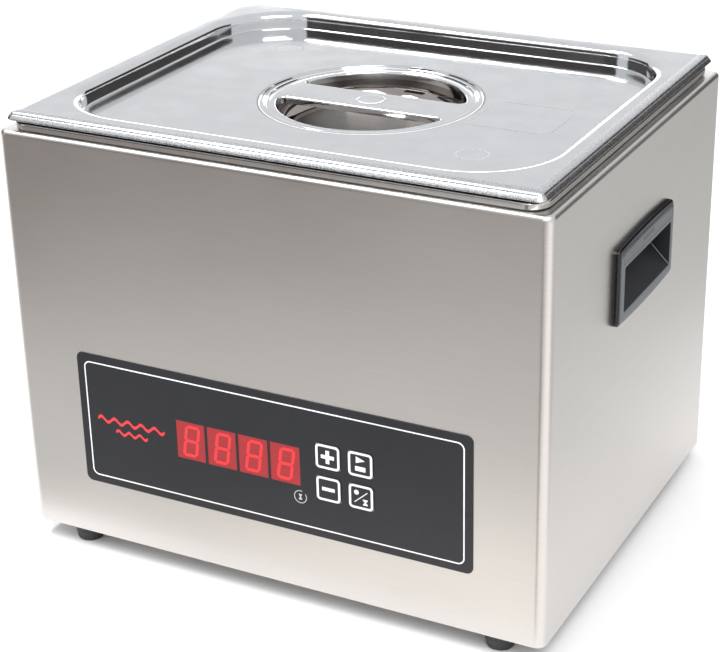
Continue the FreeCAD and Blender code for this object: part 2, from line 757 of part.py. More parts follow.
def switch_frame():
    """Rocker switch housing with two bearing holes for the rocker's pivot."""
    flange = slab((SWITCH_X, MAINS_Z), (15, 21), BACK_Y, BACK_Y + 2.0, 1)
    body = slab((SWITCH_X, MAINS_Z), (13, 19.2), BACK_Y - 18, BACK_Y)
    well = slab((SWITCH_X, MAINS_Z), (11, 17.2), BACK_Y - 9, BACK_Y + 3)
    return joined([flange, body]).cut([well, pivot_rod(PIVOT_R + RUNNING_GAP, 6.2)])


def pivot_rod(radius, reach):
    """Round bar on the rocker's axis, to the same reach either way."""
    start = V(SWITCH_X - reach, BACK_Y - PIVOT_IN, MAINS_Z)
    return Part.makeCylinder(radius, 2 * reach, start, X_AXIS)


def rocker():
    """Rocker paddle: two flats that meet at a shallow angle, on a pivot rod."""
    half = ROCKER_HALF
    profile = [(-half, 3.2), (0.0, 4.0), (half, 6.2), (half - 0.9, 1.8), (1.8, -1.6),
               (-1.8, -1.6), (-half + 0.9, 0.2)]
    corners = [V(SWITCH_X - 5.2, BACK_Y - PIVOT_IN + y, MAINS_Z + z) for z, y in profile]
    paddle = Part.Face(Part.makePolygon(corners + corners[:1])).extrude(V(10.4, 0, 0))
    return joined([paddle, pivot_rod(PIVOT_R, 6.1)])


# ---- side grips -------------------------------------------------------------
def arched_plate(low_x, high_x):
    """Grip face: a rounded plate whose top and bottom bow out a little."""
    y_a = GRIP_Y - GRIP_W / 2
    y_b = GRIP_Y + GRIP_W / 2
    low = GRIP_LOW + GRIP_ARCH
    high = GRIP_HIGH - GRIP_ARCH
    a, b, c, d = V(low_x, y_a, low), V(low_x, y_b, low), V(low_x, y_b, high), V(low_x, y_a, high)
    bottom = Part.Arc(a, V(low_x, GRIP_Y, GRIP_LOW), b).toShape()
    top = Part.Arc(c, V(low_x, GRIP_Y, GRIP_HIGH), d).toShape()
    wire = Part.Wire([bottom, Part.makeLine(b, c), top, Part.makeLine(d, a)])
    plate = Part.Face(wire).extrude(V(high_x - low_x, 0, 0))
    plate = plate.makeFillet(GRIP_CORNER_R, [e for e in plate.Edges if is_along(e, X_AXIS)])
    rim = [e for e in plate.Edges if abs(e.BoundBox.XMin - high_x) < 1e-4]
    return plate.makeFillet(GRIP_EDGE_R, rim)


def side_grip():
    """Recessed carrying grip: a bezel and a pocket with a sloping floor."""
    face = SIDE_X + GRIP_PROUD
    bezel = arched_plate(SIDE_X, face)
    mouth_low, mouth_high = GRIP_MOUTH_Z
    deep = SIDE_X - GRIP_DEEP
    rise = mouth_low + GRIP_PROUD + GRIP_DEEP
    slant = GRIP_WALL * (math.sqrt(2) - 1)
    shell = prism([(SIDE_X, mouth_low + GRIP_PROUD - GRIP_WALL * math.sqrt(2)),
                   (deep - GRIP_WALL, rise - slant),
                   (deep - GRIP_WALL, GRIP_POCKET_TOP + GRIP_WALL),
                   (SIDE_X, GRIP_POCKET_TOP + GRIP_WALL)],
                  GRIP_MOUTH_Y[0] - GRIP_WALL, GRIP_MOUTH_Y[1] + GRIP_WALL)
    pocket = prism([(face + 1, mouth_low), (face, mouth_low), (deep, rise),
                    (deep, GRIP_POCKET_TOP), (SIDE_X - 1, GRIP_POCKET_TOP),
                    (SIDE_X - 1, mouth_high), (face + 1, mouth_high)],
                   GRIP_MOUTH_Y[0], GRIP_MOUTH_Y[1])
    return joined([bezel, shell]).cut(pocket)


# ---- write every piece ------------------------------------------------------
def export_all():
    os.makedirs("parts", exist_ok=True)
    feet = corner_pairs(FOOT_X, FOOT_Y)
    save("housing_shell", housing_shell())
    save("base_plate", base_plate())
    save("feet", group([foot(x, y) for x, y in feet]))
    save("foot_screws", group([foot_screw(x, y) for x, y in feet]))
    save("foot_nuts", group([foot_nut(x, y) for x, y in feet]))
    save("earth_stud", earth_stud())
    save("tank", tank())
    save("tank_gasket", tank_gasket())
    save("heater_mat", heater_mat())
    save("heater_clamp", heater_clamp())
    save("insulation_wrap", insulation_wrap())
    save("temperature_probe", temperature_probe())
    save("probe_nut", probe_nut())
    save("overheat_cutout", overheat_cutout())
    save("impeller", impeller())
    save("driven_magnet", driven_magnet())
    save("impeller_spindle", impeller_spindle())
    save("pump_cage", pump_cage())
    save("pump_motor", pump_motor())
    save("motor_shaft", motor_shaft())
    save("drive_magnet", drive_magnet())
    save("motor_bracket", motor_bracket())
    save("motor_studs", group([motor_stud(x, y) for x, y in motor_stud_places()]))
    save("false_bottom", false_bottom())
    save("rack_legs", group([rack_leg(x, y) for x, y in corner_pairs(RACK_LEG_X, RACK_LEG_Y)]))
    save("lid_pan", lid_pan())
    save("lid_grip_plate", lid_grip_plate())
    save("lid_dish", lid_dish())
    save("panel_film", panel_film())
    save("display_windows", group([display_window(x) for x in window_places()]))
    for name, (x, z) in key_places().items():
        save(name, key(x, z))
    save("digit_modules", group([digit_module(x) for x in window_places()]))
    save("push_switches", group([push_switch(x, z) for x, z in key_places().values()]))
    save("display_board", display_board())
    save("board_studs", group([board_stud(x, z) for x, z in board_stud_places()]))
    save("control_board", control_board())
    save("board_posts", group([board_post(x, y) for x, y in corner_pairs(50.0, 33.0)]))
    save("board_capacitors", group([board_capacitor(k) for k in range(3)]))
    save("board_relay", board_relay())
    save("board_connector", board_connector())
    save("ribbon_cable", ribbon_cable())
    save("heat_sink", heat_sink())
    save("power_relay", power_relay())
    save("transformer_core", transformer_core())
    save("transformer_coil", transformer_coil())
    save("terminal_block", terminal_block())
    save("terminal_screws", group([terminal_screw(x, y) for x, y in terminal_places()]))
    save("mains_inlet", mains_inlet())
    save("inlet_pins", group([inlet_pin(-7, -1), inlet_pin(7, -1), inlet_pin(0, 3)]))
    save("inlet_screws", group([inlet_screw(s) for s in (-1, 1)]))
    save("fuse_holder", fuse_holder())
    save("fuse_cap", fuse_cap())
    save("switch_frame", switch_frame())
    save("rocker", rocker())
    save("grip_right", side_grip())
    save("grip_left", mirrored_x(side_grip()))


export_all()
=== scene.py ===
"""Countertop sous vide water bath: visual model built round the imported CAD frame.

Metres, +Z up, control panel towards -Y. Places come from the frame's boxes.
"""
import json
import math

import bmesh
import bpy
from mathutils import Matrix, Vector


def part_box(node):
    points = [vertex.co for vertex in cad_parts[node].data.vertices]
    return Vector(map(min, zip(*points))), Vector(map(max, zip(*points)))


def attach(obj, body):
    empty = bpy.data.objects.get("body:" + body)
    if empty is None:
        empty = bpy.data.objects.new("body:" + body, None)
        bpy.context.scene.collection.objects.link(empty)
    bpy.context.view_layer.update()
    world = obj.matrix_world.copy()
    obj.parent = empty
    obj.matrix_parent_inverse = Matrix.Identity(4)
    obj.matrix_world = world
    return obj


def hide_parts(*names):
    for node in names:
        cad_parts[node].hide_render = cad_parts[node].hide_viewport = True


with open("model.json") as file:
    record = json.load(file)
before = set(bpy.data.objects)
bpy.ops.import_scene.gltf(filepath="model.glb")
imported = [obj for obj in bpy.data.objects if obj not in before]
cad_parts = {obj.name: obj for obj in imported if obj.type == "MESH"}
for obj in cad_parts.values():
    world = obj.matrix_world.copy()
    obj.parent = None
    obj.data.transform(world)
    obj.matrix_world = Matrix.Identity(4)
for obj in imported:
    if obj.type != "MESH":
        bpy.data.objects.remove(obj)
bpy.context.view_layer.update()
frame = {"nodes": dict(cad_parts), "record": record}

MM = 0.001
PI = math.pi
ARC = 10

# ---- places read from the frame ---------------------------------------------
SHELL_LOW, SHELL_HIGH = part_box("housing_shell")
TANK_LOW, TANK_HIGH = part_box("tank")
LID_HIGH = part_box("lid_pan")[1]
PLATE_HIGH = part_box("lid_grip_plate")[1]
DISH_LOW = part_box("lid_dish")[0]
FILM_LOW, FILM_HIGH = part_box("panel_film")
WINDOWS_LOW, WINDOWS_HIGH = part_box("display_windows")
GRIP_LOW, GRIP_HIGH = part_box("grip_right")
INLET_LOW, INLET_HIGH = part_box("mains_inlet")
SWITCH_LOW, SWITCH_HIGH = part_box("switch_frame")
FEET_LOW, FEET_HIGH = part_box("feet")

SHEET = 1.0 * MM
FRONT_Y = SHELL_LOW.y
BACK_Y = SHELL_HIGH.y
SIDE_X = SHELL_HIGH.x
BODY_LOW = SHELL_LOW.z
BODY_TOP = SHELL_HIGH.z
LID_TOP = LID_HIGH.z
PLATEAU = PLATE_HIGH.z
KEYS = ("key_plus", "key_start_stop", "key_minus", "key_mode")


# ---- node helpers -----------------------------------------------------------
class Nodes:
    """A material's node tree, with a few short ways to add to it."""

    def __init__(self, name):
        self.material = bpy.data.materials.new(name)
        self.material.use_nodes = True
        self.tree = self.material.node_tree
        self.shader = self.tree.nodes["Principled BSDF"]

    def add(self, kind, **values):
        node = self.tree.nodes.new(kind)
        for key, value in values.items():
            setattr(node, key, value)
        return node

    def link(self, start, end):
        self.tree.links.new(start, end)

    def place(self, scale):
        """Object coordinates, in metres, stretched by scale."""
        coords = self.add("ShaderNodeTexCoord")
        mapping = self.add("ShaderNodeMapping")
        mapping.inputs["Scale"].default_value = scale
        self.link(coords.outputs["Object"], mapping.inputs["Vector"])
        return mapping.outputs["Vector"]

    def noise(self, scale, detail=2.0, rough=0.5):
        node = self.add("ShaderNodeTexNoise")
        node.inputs["Scale"].default_value = 1.0
        node.inputs["Detail"].default_value = detail
        node.inputs["Roughness"].default_value = rough
        self.link(self.place(scale), node.inputs["Vector"])
        return node.outputs["Fac"]

    def spread(self, value, low, high, from_low=0.3, from_high=0.7):
        """Maps a noise value onto a range."""
        node = self.add("ShaderNodeMapRange")
        node.inputs["From Min"].default_value = from_low
        node.inputs["From Max"].default_value = from_high
        node.inputs["To Min"].default_value = low
        node.inputs["To Max"].default_value = high
        self.link(value, node.inputs["Value"])
        return node.outputs["Result"]

    def sum(self, first, second):
        node = self.add("ShaderNodeMath", operation="ADD")
        self.link(first, node.inputs[0])
        self.link(second, node.inputs[1])
        return node.outputs["Value"]

    def tint(self, value, dark, light):
        """Colour between two tints, driven by a value from 0 to 1."""
        node = self.add("ShaderNodeMix", data_type="RGBA")
        node.inputs["A"].default_value = (*dark, 1.0)
        node.inputs["B"].default_value = (*light, 1.0)
        self.link(value, node.inputs["Factor"])
        self.link(node.outputs["Result"], self.shader.inputs["Base Color"])

    def bump(self, height, strength, distance):
        node = self.add("ShaderNodeBump")
        node.inputs["Strength"].default_value = strength
        node.inputs["Distance"].default_value = distance
        self.link(height, node.inputs["Height"])
        self.link(node.outputs["Normal"], self.shader.inputs["Normal"])

    def set(self, **values):
        for key, value in values.items():
            self.shader.inputs[key.replace("_", " ")].default_value = value


# ---- materials --------------------------------------------------------------
def brushed_metal(name, dark, light, rough, stretch, scratch=0.12):
    """Ground sheet: long fine lines in one direction, and a faint cloudiness."""
    n = Nodes(name)
    n.set(Metallic=1.0)
    lines = n.noise(stretch, 4.0, 0.7)
    clouds = n.noise((7, 7, 9), 2.0)
    n.tint(n.sum(n.spread(lines, 0.0, 0.6), n.spread(clouds, 0.0, 0.4)), dark, light)
    n.link(n.sum(n.spread(lines, rough - 0.02, rough + 0.02), n.spread(clouds, -0.02, 0.03)),
           n.shader.inputs["Roughness"])
    n.bump(lines, scratch, 0.00002)
    return n.material


def polished_metal(name, dark, light, rough, wave=0.05, grain=(60, 60, 60)):
    """Bright pressed sheet: nearly a mirror, with a soft unevenness."""
    n = Nodes(name)
    n.set(Metallic=1.0)
    grainy = n.noise(grain, 3.0)
    slow = n.noise((14, 14, 14), 1.0)
    n.tint(n.spread(grainy, 0.0, 1.0), dark, light)
    n.link(n.spread(grainy, rough - 0.01, rough + 0.015), n.shader.inputs["Roughness"])
    n.bump(slow, wave, 0.002)
    return n.material


def blasted_metal(name, dark, light, rough, size, depth):
    """Bead-blasted metal: a fine speckle that breaks up the reflections."""
    n = Nodes(name)
    n.set(Metallic=1.0)
    speckle = n.noise((size, size, size), 2.0, 0.7)
    n.tint(n.spread(speckle, 0.0, 1.0, 0.35, 0.65), dark, light)
    n.link(n.spread(speckle, rough - 0.08, rough + 0.08), n.shader.inputs["Roughness"])
    n.bump(speckle, 0.6, depth)
    return n.material


def plastic(name, colour, rough, grain=900.0, depth=0.00002, coat=0.0):
    """Moulded plastic with a fine grain and a slight change of tone."""
    n = Nodes(name)
    n.set(Coat_Weight=coat)
    fine = n.noise((grain, grain, grain), 2.0)
    slow = n.noise((25, 25, 25), 2.0)
    n.tint(n.spread(slow, 0.0, 1.0), tuple(c * 0.9 for c in colour), tuple(c * 1.1 for c in colour))
    n.link(n.spread(fine, rough - 0.05, rough + 0.05), n.shader.inputs["Roughness"])
    n.bump(fine, 0.3, depth)
    return n.material


def glowing(name, colour, rough, strength):
    """Lit plastic, a little uneven, as an LED segment is; on printed ink the glow is painted light.
    """
    n = Nodes(name)
    slow = n.noise((90, 90, 90), 2.0)
    n.tint(n.spread(slow, 0.0, 1.0), tuple(c * 0.92 for c in colour), colour)
    n.link(n.spread(slow, rough - 0.04, rough + 0.04), n.shader.inputs["Roughness"])
    n.set(Emission_Color=(*colour, 1.0), Emission_Strength=strength)
    return n.material


def felt(name, colour):
    """Fibre felt, with a fine nap."""
    n = Nodes(name)
    fine = n.noise((700, 700, 700), 4.0, 0.7)
    n.tint(n.spread(fine, 0.0, 1.0), tuple(c * 0.8 for c in colour), colour)
    n.link(n.spread(fine, 0.85, 1.0), n.shader.inputs["Roughness"])
    n.bump(fine, 0.8, 0.0004)
    return n.material


MATERIALS = {
    "brushed_steel": brushed_metal("brushed_steel", (0.63, 0.605, 0.58), (0.71, 0.685, 0.66), 0.34,
                                   (22, 22, 1800)),
    "lid_steel": polished_metal("lid_steel", (0.70, 0.71, 0.72), (0.74, 0.75, 0.76), 0.09, 0.03),
    "lid_rim": blasted_metal("lid_rim", (0.42, 0.43, 0.44), (0.70, 0.71, 0.72), 0.28, 1500,
                             0.00003),
    # Inside of the lid's hem: near-black steel, a painted shade for the shadow gap under the rim.
    "hem_painted_shade": blasted_metal("hem_painted_shade", (0.02, 0.018, 0.018), (0.05, 0.045, 0.045), 0.45, 900,
                               0.00002),
    # Dish bowl and its floor: steel painted darker and browner than the lid's, a painted shade in
    # the bowl sunk under the lid.
    "dish_steel": polished_metal("dish_steel", (0.34, 0.31, 0.295), (0.41, 0.38, 0.36), 0.07, 0.03),
    "dish_floor": blasted_metal("dish_floor", (0.27, 0.255, 0.24), (0.42, 0.40, 0.38), 0.42, 1300,
                                0.0002),
    "polished_steel": brushed_metal("polished_steel", (0.62, 0.61, 0.60), (0.72, 0.71, 0.70), 0.2,
                                    (200, 200, 40), 0.1),
    "zinc_steel": polished_metal("zinc_steel", (0.55, 0.56, 0.58), (0.68, 0.69, 0.70), 0.22),
    "aluminium_sheet": brushed_metal("aluminium_sheet", (0.68, 0.69, 0.71), (0.76, 0.77, 0.78),
                                     0.35, (900, 20, 20)),
    "core_steel": brushed_metal("core_steel", (0.10, 0.10, 0.11), (0.22, 0.22, 0.24), 0.45,
                                (20, 20, 1400)),
    "magnet": blasted_metal("magnet", (0.06, 0.06, 0.065), (0.12, 0.12, 0.13), 0.45, 700, 0.0001),
    "brass_screw": polished_metal("brass_screw", (0.60, 0.44, 0.18), (0.74, 0.58, 0.28), 0.25),
    "foot_rubber": plastic("foot_rubber", (0.028, 0.029, 0.032), 0.55, 500, 0.00005),
    "silicone": plastic("silicone", (0.62, 0.62, 0.60), 0.6, 600),
    "heater_silicone": plastic("heater_silicone", (0.50, 0.11, 0.05), 0.6, 300, 0.0001),
    "insulation": felt("insulation", (0.80, 0.77, 0.68)),
    "panel_film": plastic("panel_film", (0.011, 0.012, 0.016), 0.32, 1600, 0.00001),
    "key_film": plastic("key_film", (0.014, 0.015, 0.019), 0.36, 1600, 0.00001),
    "white_print": plastic("white_print", (0.86, 0.87, 0.88), 0.5, 1200),
    "grey_print": plastic("grey_print", (0.45, 0.46, 0.48), 0.5, 1200),
    # Red ink of the water mark with a faint emission: a painted glow, the ink is no lamp.
    "red_print_glow": glowing("red_print_glow", (0.80, 0.030, 0.035), 0.5, 0.15),
    "red_window": glowing("red_window", (0.33, 0.016, 0.020), 0.35, 0.12),
    "red_segment": glowing("red_segment", (0.72, 0.024, 0.030), 0.5, 0.25),
    "grip_plastic": plastic("grip_plastic", (0.105, 0.110, 0.122), 0.40, 1400, 0.00002),
    # Rounded side of the grip's bezel: the grip plastic painted near-black, a painted shade.
    "grip_edge_shade": plastic("grip_edge_shade", (0.005, 0.005, 0.006), 0.18, 1400, 0.00001),
    # Grip pocket: the grip plastic painted nearly black, a painted shade in the recess; the band's
    # groove and studs wear it too.
    "grip_pocket": plastic("grip_pocket", (0.016, 0.017, 0.021), 0.40, 1400, 0.00002),
    # Top bevel of the grip's bezel: the grip plastic painted darker, a painted shade.
    "grip_bevel_shade": plastic("grip_bevel_shade", (0.030, 0.032, 0.037), 0.30, 1400, 0.00002),
    "socket_plastic": plastic("socket_plastic", (0.025, 0.025, 0.027), 0.45),
    "rocker_plastic": plastic("rocker_plastic", (0.02, 0.02, 0.022), 0.3),
    "pump_plastic": plastic("pump_plastic", (0.55, 0.56, 0.56), 0.4),
    "motor_paint": plastic("motor_paint", (0.05, 0.06, 0.07), 0.4, 400, 0.00005),
    "board_plastic": plastic("board_plastic", (0.10, 0.28, 0.13), 0.45),
    "module_plastic": plastic("module_plastic", (0.05, 0.05, 0.055), 0.4),
    "relay_plastic": plastic("relay_plastic", (0.72, 0.72, 0.68), 0.45),
    "connector_plastic": plastic("connector_plastic", (0.60, 0.60, 0.55), 0.5),
    "circuit_board": plastic("circuit_board", (0.03, 0.16, 0.07), 0.4, 300, 0.00004, 0.3),
    "capacitor": plastic("capacitor", (0.03, 0.04, 0.12), 0.3, 300, 0.00002, 0.3),
    "ribbon": brushed_metal("ribbon", (0.42, 0.42, 0.44), (0.62, 0.62, 0.64), 0.6, (800, 6, 6)),
    "coil_tape": plastic("coil_tape", (0.55, 0.40, 0.05), 0.4, 300, 0.00004),
}


def dress_cad_nodes():
    """Every CAD node that stays in view wears its slot's material."""
    for part in frame["record"]["subparts"]:
        node = frame["nodes"].get(part["node"])
        if node is None:
            continue
        slot = part["material_slot"]
        node.data.materials.clear()
        node.data.materials.append(MATERIALS[slot])
        smooth(node, 30)


# ---- mesh helpers -----------------------------------------------------------
def smooth(obj, angle=35):
    """Rounded stretches shade smoothly, folds stay crisp and flats stay flat."""
    obj.data.shade_smooth()
    obj.data.set_sharp_from_angle(angle=math.radians(angle))
    modifier = obj.modifiers.new("flat_normals", "WEIGHTED_NORMAL")
    modifier.keep_sharp = True
    modifier.weight = 90


def piece(name, bm, body, slot, materials=None, replaces=(), angle=35):
    """Turns a bmesh into a finished piece that rides on a CAD body."""
    bmesh.ops.remove_doubles(bm, verts=bm.verts, dist=1e-7)
    bmesh.ops.dissolve_degenerate(bm, edges=bm.edges, dist=1e-7)
    bmesh.ops.recalc_face_normals(bm, faces=bm.faces)
    mesh = bpy.data.meshes.new(name)
    bm.to_mesh(mesh)
    bm.free()
    for material in materials or [slot]:
        mesh.materials.append(MATERIALS[material])
    obj = bpy.data.objects.new(name, mesh)
    bpy.context.scene.collection.objects.link(obj)
    smooth(obj, angle)
    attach(obj, body)
    if replaces:
        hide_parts(*replaces)
    return obj


def arc_points(cx, cy, radius, start, end, steps=ARC):
    """Points on an arc, angles in quarter turns."""
    angles = [(start + (end - start) * k / steps) * PI / 2 for k in range(steps + 1)]
    return [(cx + radius * math.cos(a), cy + radius * math.sin(a)) for a in angles]


def rounded(width, depth, radius, centre=(0.0, 0.0), steps=ARC):
    """Anticlockwise outline of a rounded rectangle, as flat (a, b) pairs."""
    points = []
    for quarter, (sx, sy) in enumerate(((1, 1), (-1, 1), (-1, -1), (1, -1))):
        cx = centre[0] + sx * (width / 2 - radius)
        cy = centre[1] + sy * (depth / 2 - radius)
        points += arc_points(cx, cy, radius, quarter, quarter + 1, steps)
    return points


def circle(radius, centre=(0.0, 0.0), steps=96):
    return [(centre[0] + radius * math.cos(2 * PI * k / steps),
             centre[1] + radius * math.sin(2 * PI * k / steps)) for k in range(steps)]


def shifted(points, centre, scale=MM):
    """Flat pairs, in mm unless scale says otherwise, moved to a centre."""
    return [(centre[0] + a * scale, centre[1] + b * scale) for a, b in points]


def at_height(points, z):
    return [Vector((a, b, z)) for a, b in points]


def facing_front(points, y):
    """Flat (x, z) pairs on a plane that faces the front."""
    return [Vector((a, y, b)) for a, b in points]


def facing_side(points, x):
    """Flat (y, z) pairs on a plane that faces a side."""
    return [Vector((x, a, b)) for a, b in points]


def loft(bm, rings, closed=False, material=0):
    """Skins a run of rings that all have the same number of points."""
    loops = [[bm.verts.new(p) for p in ring] for ring in rings]
    pairs = list(zip(loops, loops[1:]))
    if closed:
        pairs.append((loops[-1], loops[0]))
    for low, high in pairs:
        count = len(low)
        for k in range(count):
            after = (k + 1) % count
            face = bm.faces.new((low[k], low[after], high[after], high[k]))
            face.material_index = material
    return loops


def cap(bm, loop, material=0):
    face = bm.faces.new(loop)
    face.material_index = material
    return face


def closed_edges(bm, loop):
    """The edges round a loop of vertices, made where they are missing."""
    pairs = zip(loop, loop[1:] + loop[:1])
    return [bm.edges.get(pair) or bm.edges.new(pair) for pair in pairs]


def fill_between(bm, loops):
    """Fills the flat area that lies between loops of vertices."""
    edges = [edge for loop in loops for edge in closed_edges(bm, loop)]
    bmesh.ops.triangle_fill(bm, use_beauty=True, use_dissolve=False, edges=edges)


def solid(bm, rings, material=0):
    """A lofted body with flat ends."""
    loops = loft(bm, rings, material=material)
    cap(bm, loops[0], material)
    cap(bm, loops[-1], material)


def bend(width_a, z_a, width_b, z_b, steps=6):
    """Quarter-round between two (inset, z) places, as (inset, z) pairs.

    It leaves the first place upright and reaches the second one level.
    """
    return [(width_a + (width_b - width_a) * (1 - math.cos(t)), z_a + (z_b - z_a) * math.sin(t))
            for t in [PI / 2 * k / steps for k in range(steps + 1)]]


def turned(bm, profile, centre=(0.0, 0.0), steps=96, material=0, closed=False):
    """Lathe work: (radius, z) pairs turned about an upright axis."""
    rings = [at_height(circle(r, centre, steps), z) for r, z in profile]
    return loft(bm, rings, closed, material)


def cut(obj, blocks):
    """Takes the blocks out of a mesh, for good."""
    for block in blocks:
        modifier = obj.modifiers.new("cut", "BOOLEAN")
        modifier.operation = "DIFFERENCE"
        modifier.solver = "EXACT"
        modifier.object = block
    obj.modifiers.remove(obj.modifiers["flat_normals"])
    bpy.context.view_layer.update()
    evaluated = obj.evaluated_get(bpy.context.evaluated_depsgraph_get())
    mesh = bpy.data.meshes.new_from_object(evaluated)
    obj.modifiers.clear()
    obj.data = mesh
    for block in blocks:
        bpy.data.objects.remove(block)
    smooth(obj)


def cutter(rings):
    """A loose body for cut() to take away."""
    bm = bmesh.new()
    solid(bm, rings)
    bmesh.ops.recalc_face_normals(bm, faces=bm.faces)
    mesh = bpy.data.meshes.new("cutter")
    bm.to_mesh(mesh)
    bm.free()
    obj = bpy.data.objects.new("cutter", mesh)
    bpy.context.scene.collection.objects.link(obj)
    return obj


# ---- housing ----------------------------------------------------------------
BODY_CORNER = 6.0 * MM
BODY_EDGE = 3.0 * MM
FLANGE_REST = 12.5 * MM
TOP_HOLE_R = 48.5 * MM
GRIP_HOLE_H = 34 * MM
GRIP_HOLE_MARGIN = 4 * MM
INLET_HOLE = (28.4 * MM, 20.4 * MM)
SWITCH_HOLE = (13 * MM, 19.2 * MM)
CUT_REACH = 3 * MM


def housing():
    """Folded sheet body with rounded top edges, open under the tank and at the base."""
    width, depth = 2 * SIDE_X, BACK_Y - FRONT_Y
    edge = BODY_EDGE
    bm = bmesh.new()

    def ring(inset, z):
        radius = max(BODY_CORNER - inset, 0.4 * MM)
        return at_height(rounded(width - 2 * inset, depth - 2 * inset, radius), z)

    rings = [ring(SHEET, BODY_LOW), ring(0.4 * MM, BODY_LOW), ring(0.1 * MM, BODY_LOW + 0.1 * MM)]
    rings.append(ring(0, BODY_LOW + 0.5 * MM))
    rings += [ring(inset, z) for inset, z in bend(0, BODY_TOP - edge, edge, BODY_TOP, 8)]
    hole = rounded(2 * (TANK_HIGH.x - FLANGE_REST), 2 * (TANK_HIGH.y - FLANGE_REST), TOP_HOLE_R)
    rings.append(at_height(hole, BODY_TOP))
    rings.append(at_height(hole, BODY_TOP - SHEET))
    rings += [ring(inset + SHEET, z - SHEET)
              for inset, z in reversed(bend(0, BODY_TOP - edge, edge - SHEET, BODY_TOP, 8))]
    loft(bm, rings, closed=True)
    obj = piece("housing_skin", bm, "housing", "brushed_steel", replaces=["housing_shell"])
    cut(obj, wall_openings())
    return obj


def wall_openings():
    """Bodies to take out of the walls: two grips and the rear fittings."""
    grip_middle = (0, (GRIP_LOW.z + GRIP_HIGH.z) / 2 + 1 * MM)
    grip_hole = rounded(2 * (GRIP_HIGH.y - GRIP_HOLE_MARGIN), GRIP_HOLE_H, 3 * MM, grip_middle)
    blocks = []
    for side in (-1, 1):
        rings = [facing_side(grip_hole, side * (SIDE_X + d)) for d in (-CUT_REACH, CUT_REACH)]
        blocks.append(cutter(rings))
    fittings = ((INLET_LOW, INLET_HIGH, INLET_HOLE), (SWITCH_LOW, SWITCH_HIGH, SWITCH_HOLE))
    for low, high, size in fittings:
        outline = rounded(*size, 2 * MM, ((low.x + high.x) / 2, (low.z + high.z) / 2))
        rings = [facing_front(outline, BACK_Y + d) for d in (-CUT_REACH, CUT_REACH)]
        blocks.append(cutter(rings))
    return blocks


# ---- tank -------------------------------------------------------------------
FLANGE_W = (15 * MM, 14.75 * MM)
FLANGE_CORNER = 12 * MM
FLANGE_DROP = 3.8 * MM
FLANGE_BEND = 1.4 * MM
BATH_R = 46 * MM
BATH_FILLET = 13 * MM


def tank_bowl():
    """Deep-drawn tank with its rolled flange."""
    width, depth = 2 * TANK_HIGH.x, 2 * TANK_HIGH.y
    open_w, open_d = width - 2 * FLANGE_W[0], depth - 2 * FLANGE_W[1]
    top = TANK_HIGH.z
    floor = TANK_LOW.z + SHEET
    fillet = floor + BATH_FILLET
    bm = bmesh.new()

    def ring(inset, z, radius):
        return at_height(rounded(width - 2 * inset, depth - 2 * inset, radius), z)

    def well(inset, z):
        return at_height(rounded(open_w - 2 * inset, open_d - 2 * inset, BATH_R - inset), z)

    foot = top - FLANGE_DROP
    inside_corner = FLANGE_CORNER - SHEET
    rings = [ring(SHEET, foot, inside_corner), ring(0.2 * MM, foot, FLANGE_CORNER)]
    rings += [ring(inset, z, FLANGE_CORNER - inset)
              for inset, z in bend(0, top - FLANGE_BEND, FLANGE_BEND, top)]
    rings += [well(-2 * MM, top), well(-0.8 * MM, top - 0.3 * MM), well(0, top - 2 * MM)]
    rings += [well(inset, z) for inset, z in bend(0, fillet, BATH_FILLET, floor)]
    cap(bm, loft(bm, rings)[-1])
    outer = [rings[0], ring(SHEET, top - SHEET, inside_corner), well(-SHEET, top - SHEET)]
    outer += [well(inset - SHEET, z)
              for inset, z in bend(0, fillet, BATH_FILLET + SHEET, floor - SHEET)]
    cap(bm, loft(bm, outer)[-1])
    return piece("tank_bowl", bm, "housing", "polished_steel", replaces=["tank"])


# ---- lid --------------------------------------------------------------------
WELL_W = 288 * MM
WELL_D = 228 * MM
WELL_R = 45 * MM
RING_R = 65.1 * MM
DISH_R = 56.2 * MM
BAR_HALF = 12.9 * MM
BAR_DROP = 1.0 * MM
LID_CORNER = 5 * MM
LID_STACK = 6.0
PAN_DEPTH = 10.2

# (inset, depth) from the lid's outer edge and top, mm: inside of the hem (wears painted shade),
# roll, flat border.
HEM_POINTS = 6
LID_ROLL = [(5.0, 1.0), (5.0, 5.97), (3.4, 5.97), (3.1, 5.5), (2.2, 4.95), (0.9, 4.9),
            (0.25, 4.7), (0.0, 4.3), (0.12, 3.8), (1.4, 2.1), (1.8, 1.9), (2.0, 1.5), (2.4, 0.9),
            (3.1, 0.5), (4.2, 0.2), (5.8, 0.04), (7.4, 0.0)]
# (outward growth, depth) of the well's wall, mm: lip, wall, crease, flat middle.
WELL_WALL = [(6.4, 0.0), (5.4, 0.08), (4.4, 0.25), (3.5, 0.58), (2.75, 1.1), (2.1, 1.75),
             (1.6, 2.5), (1.3, 3.4), (1.15, 4.3), (1.08, 5.2), (1.0, 7.0), (0.92, 9.5),
             (0.78, 9.85), (0.45, 10.05), (-0.1, 10.15), (-0.8, 10.2)]
WELL_FOOT = -5.6 * MM
# (radius, height) of the sunk ring round the dish, mm: two fine ridges.
RING_STEPS = [(66.2, 0.0), (65.5, 0.0), (65.15, -0.08), (65.0, -0.25), (64.85, -0.95),
              (64.7, -1.12), (64.35, -1.2), (62.6, -1.05), (61.9, -0.55), (61.5, -0.4),
              (61.1, -0.45), (60.95, -0.6), (60.8, -1.2), (60.65, -1.35), (60.3, -1.4),
              (58.9, -1.2), (58.4, -1.0)]
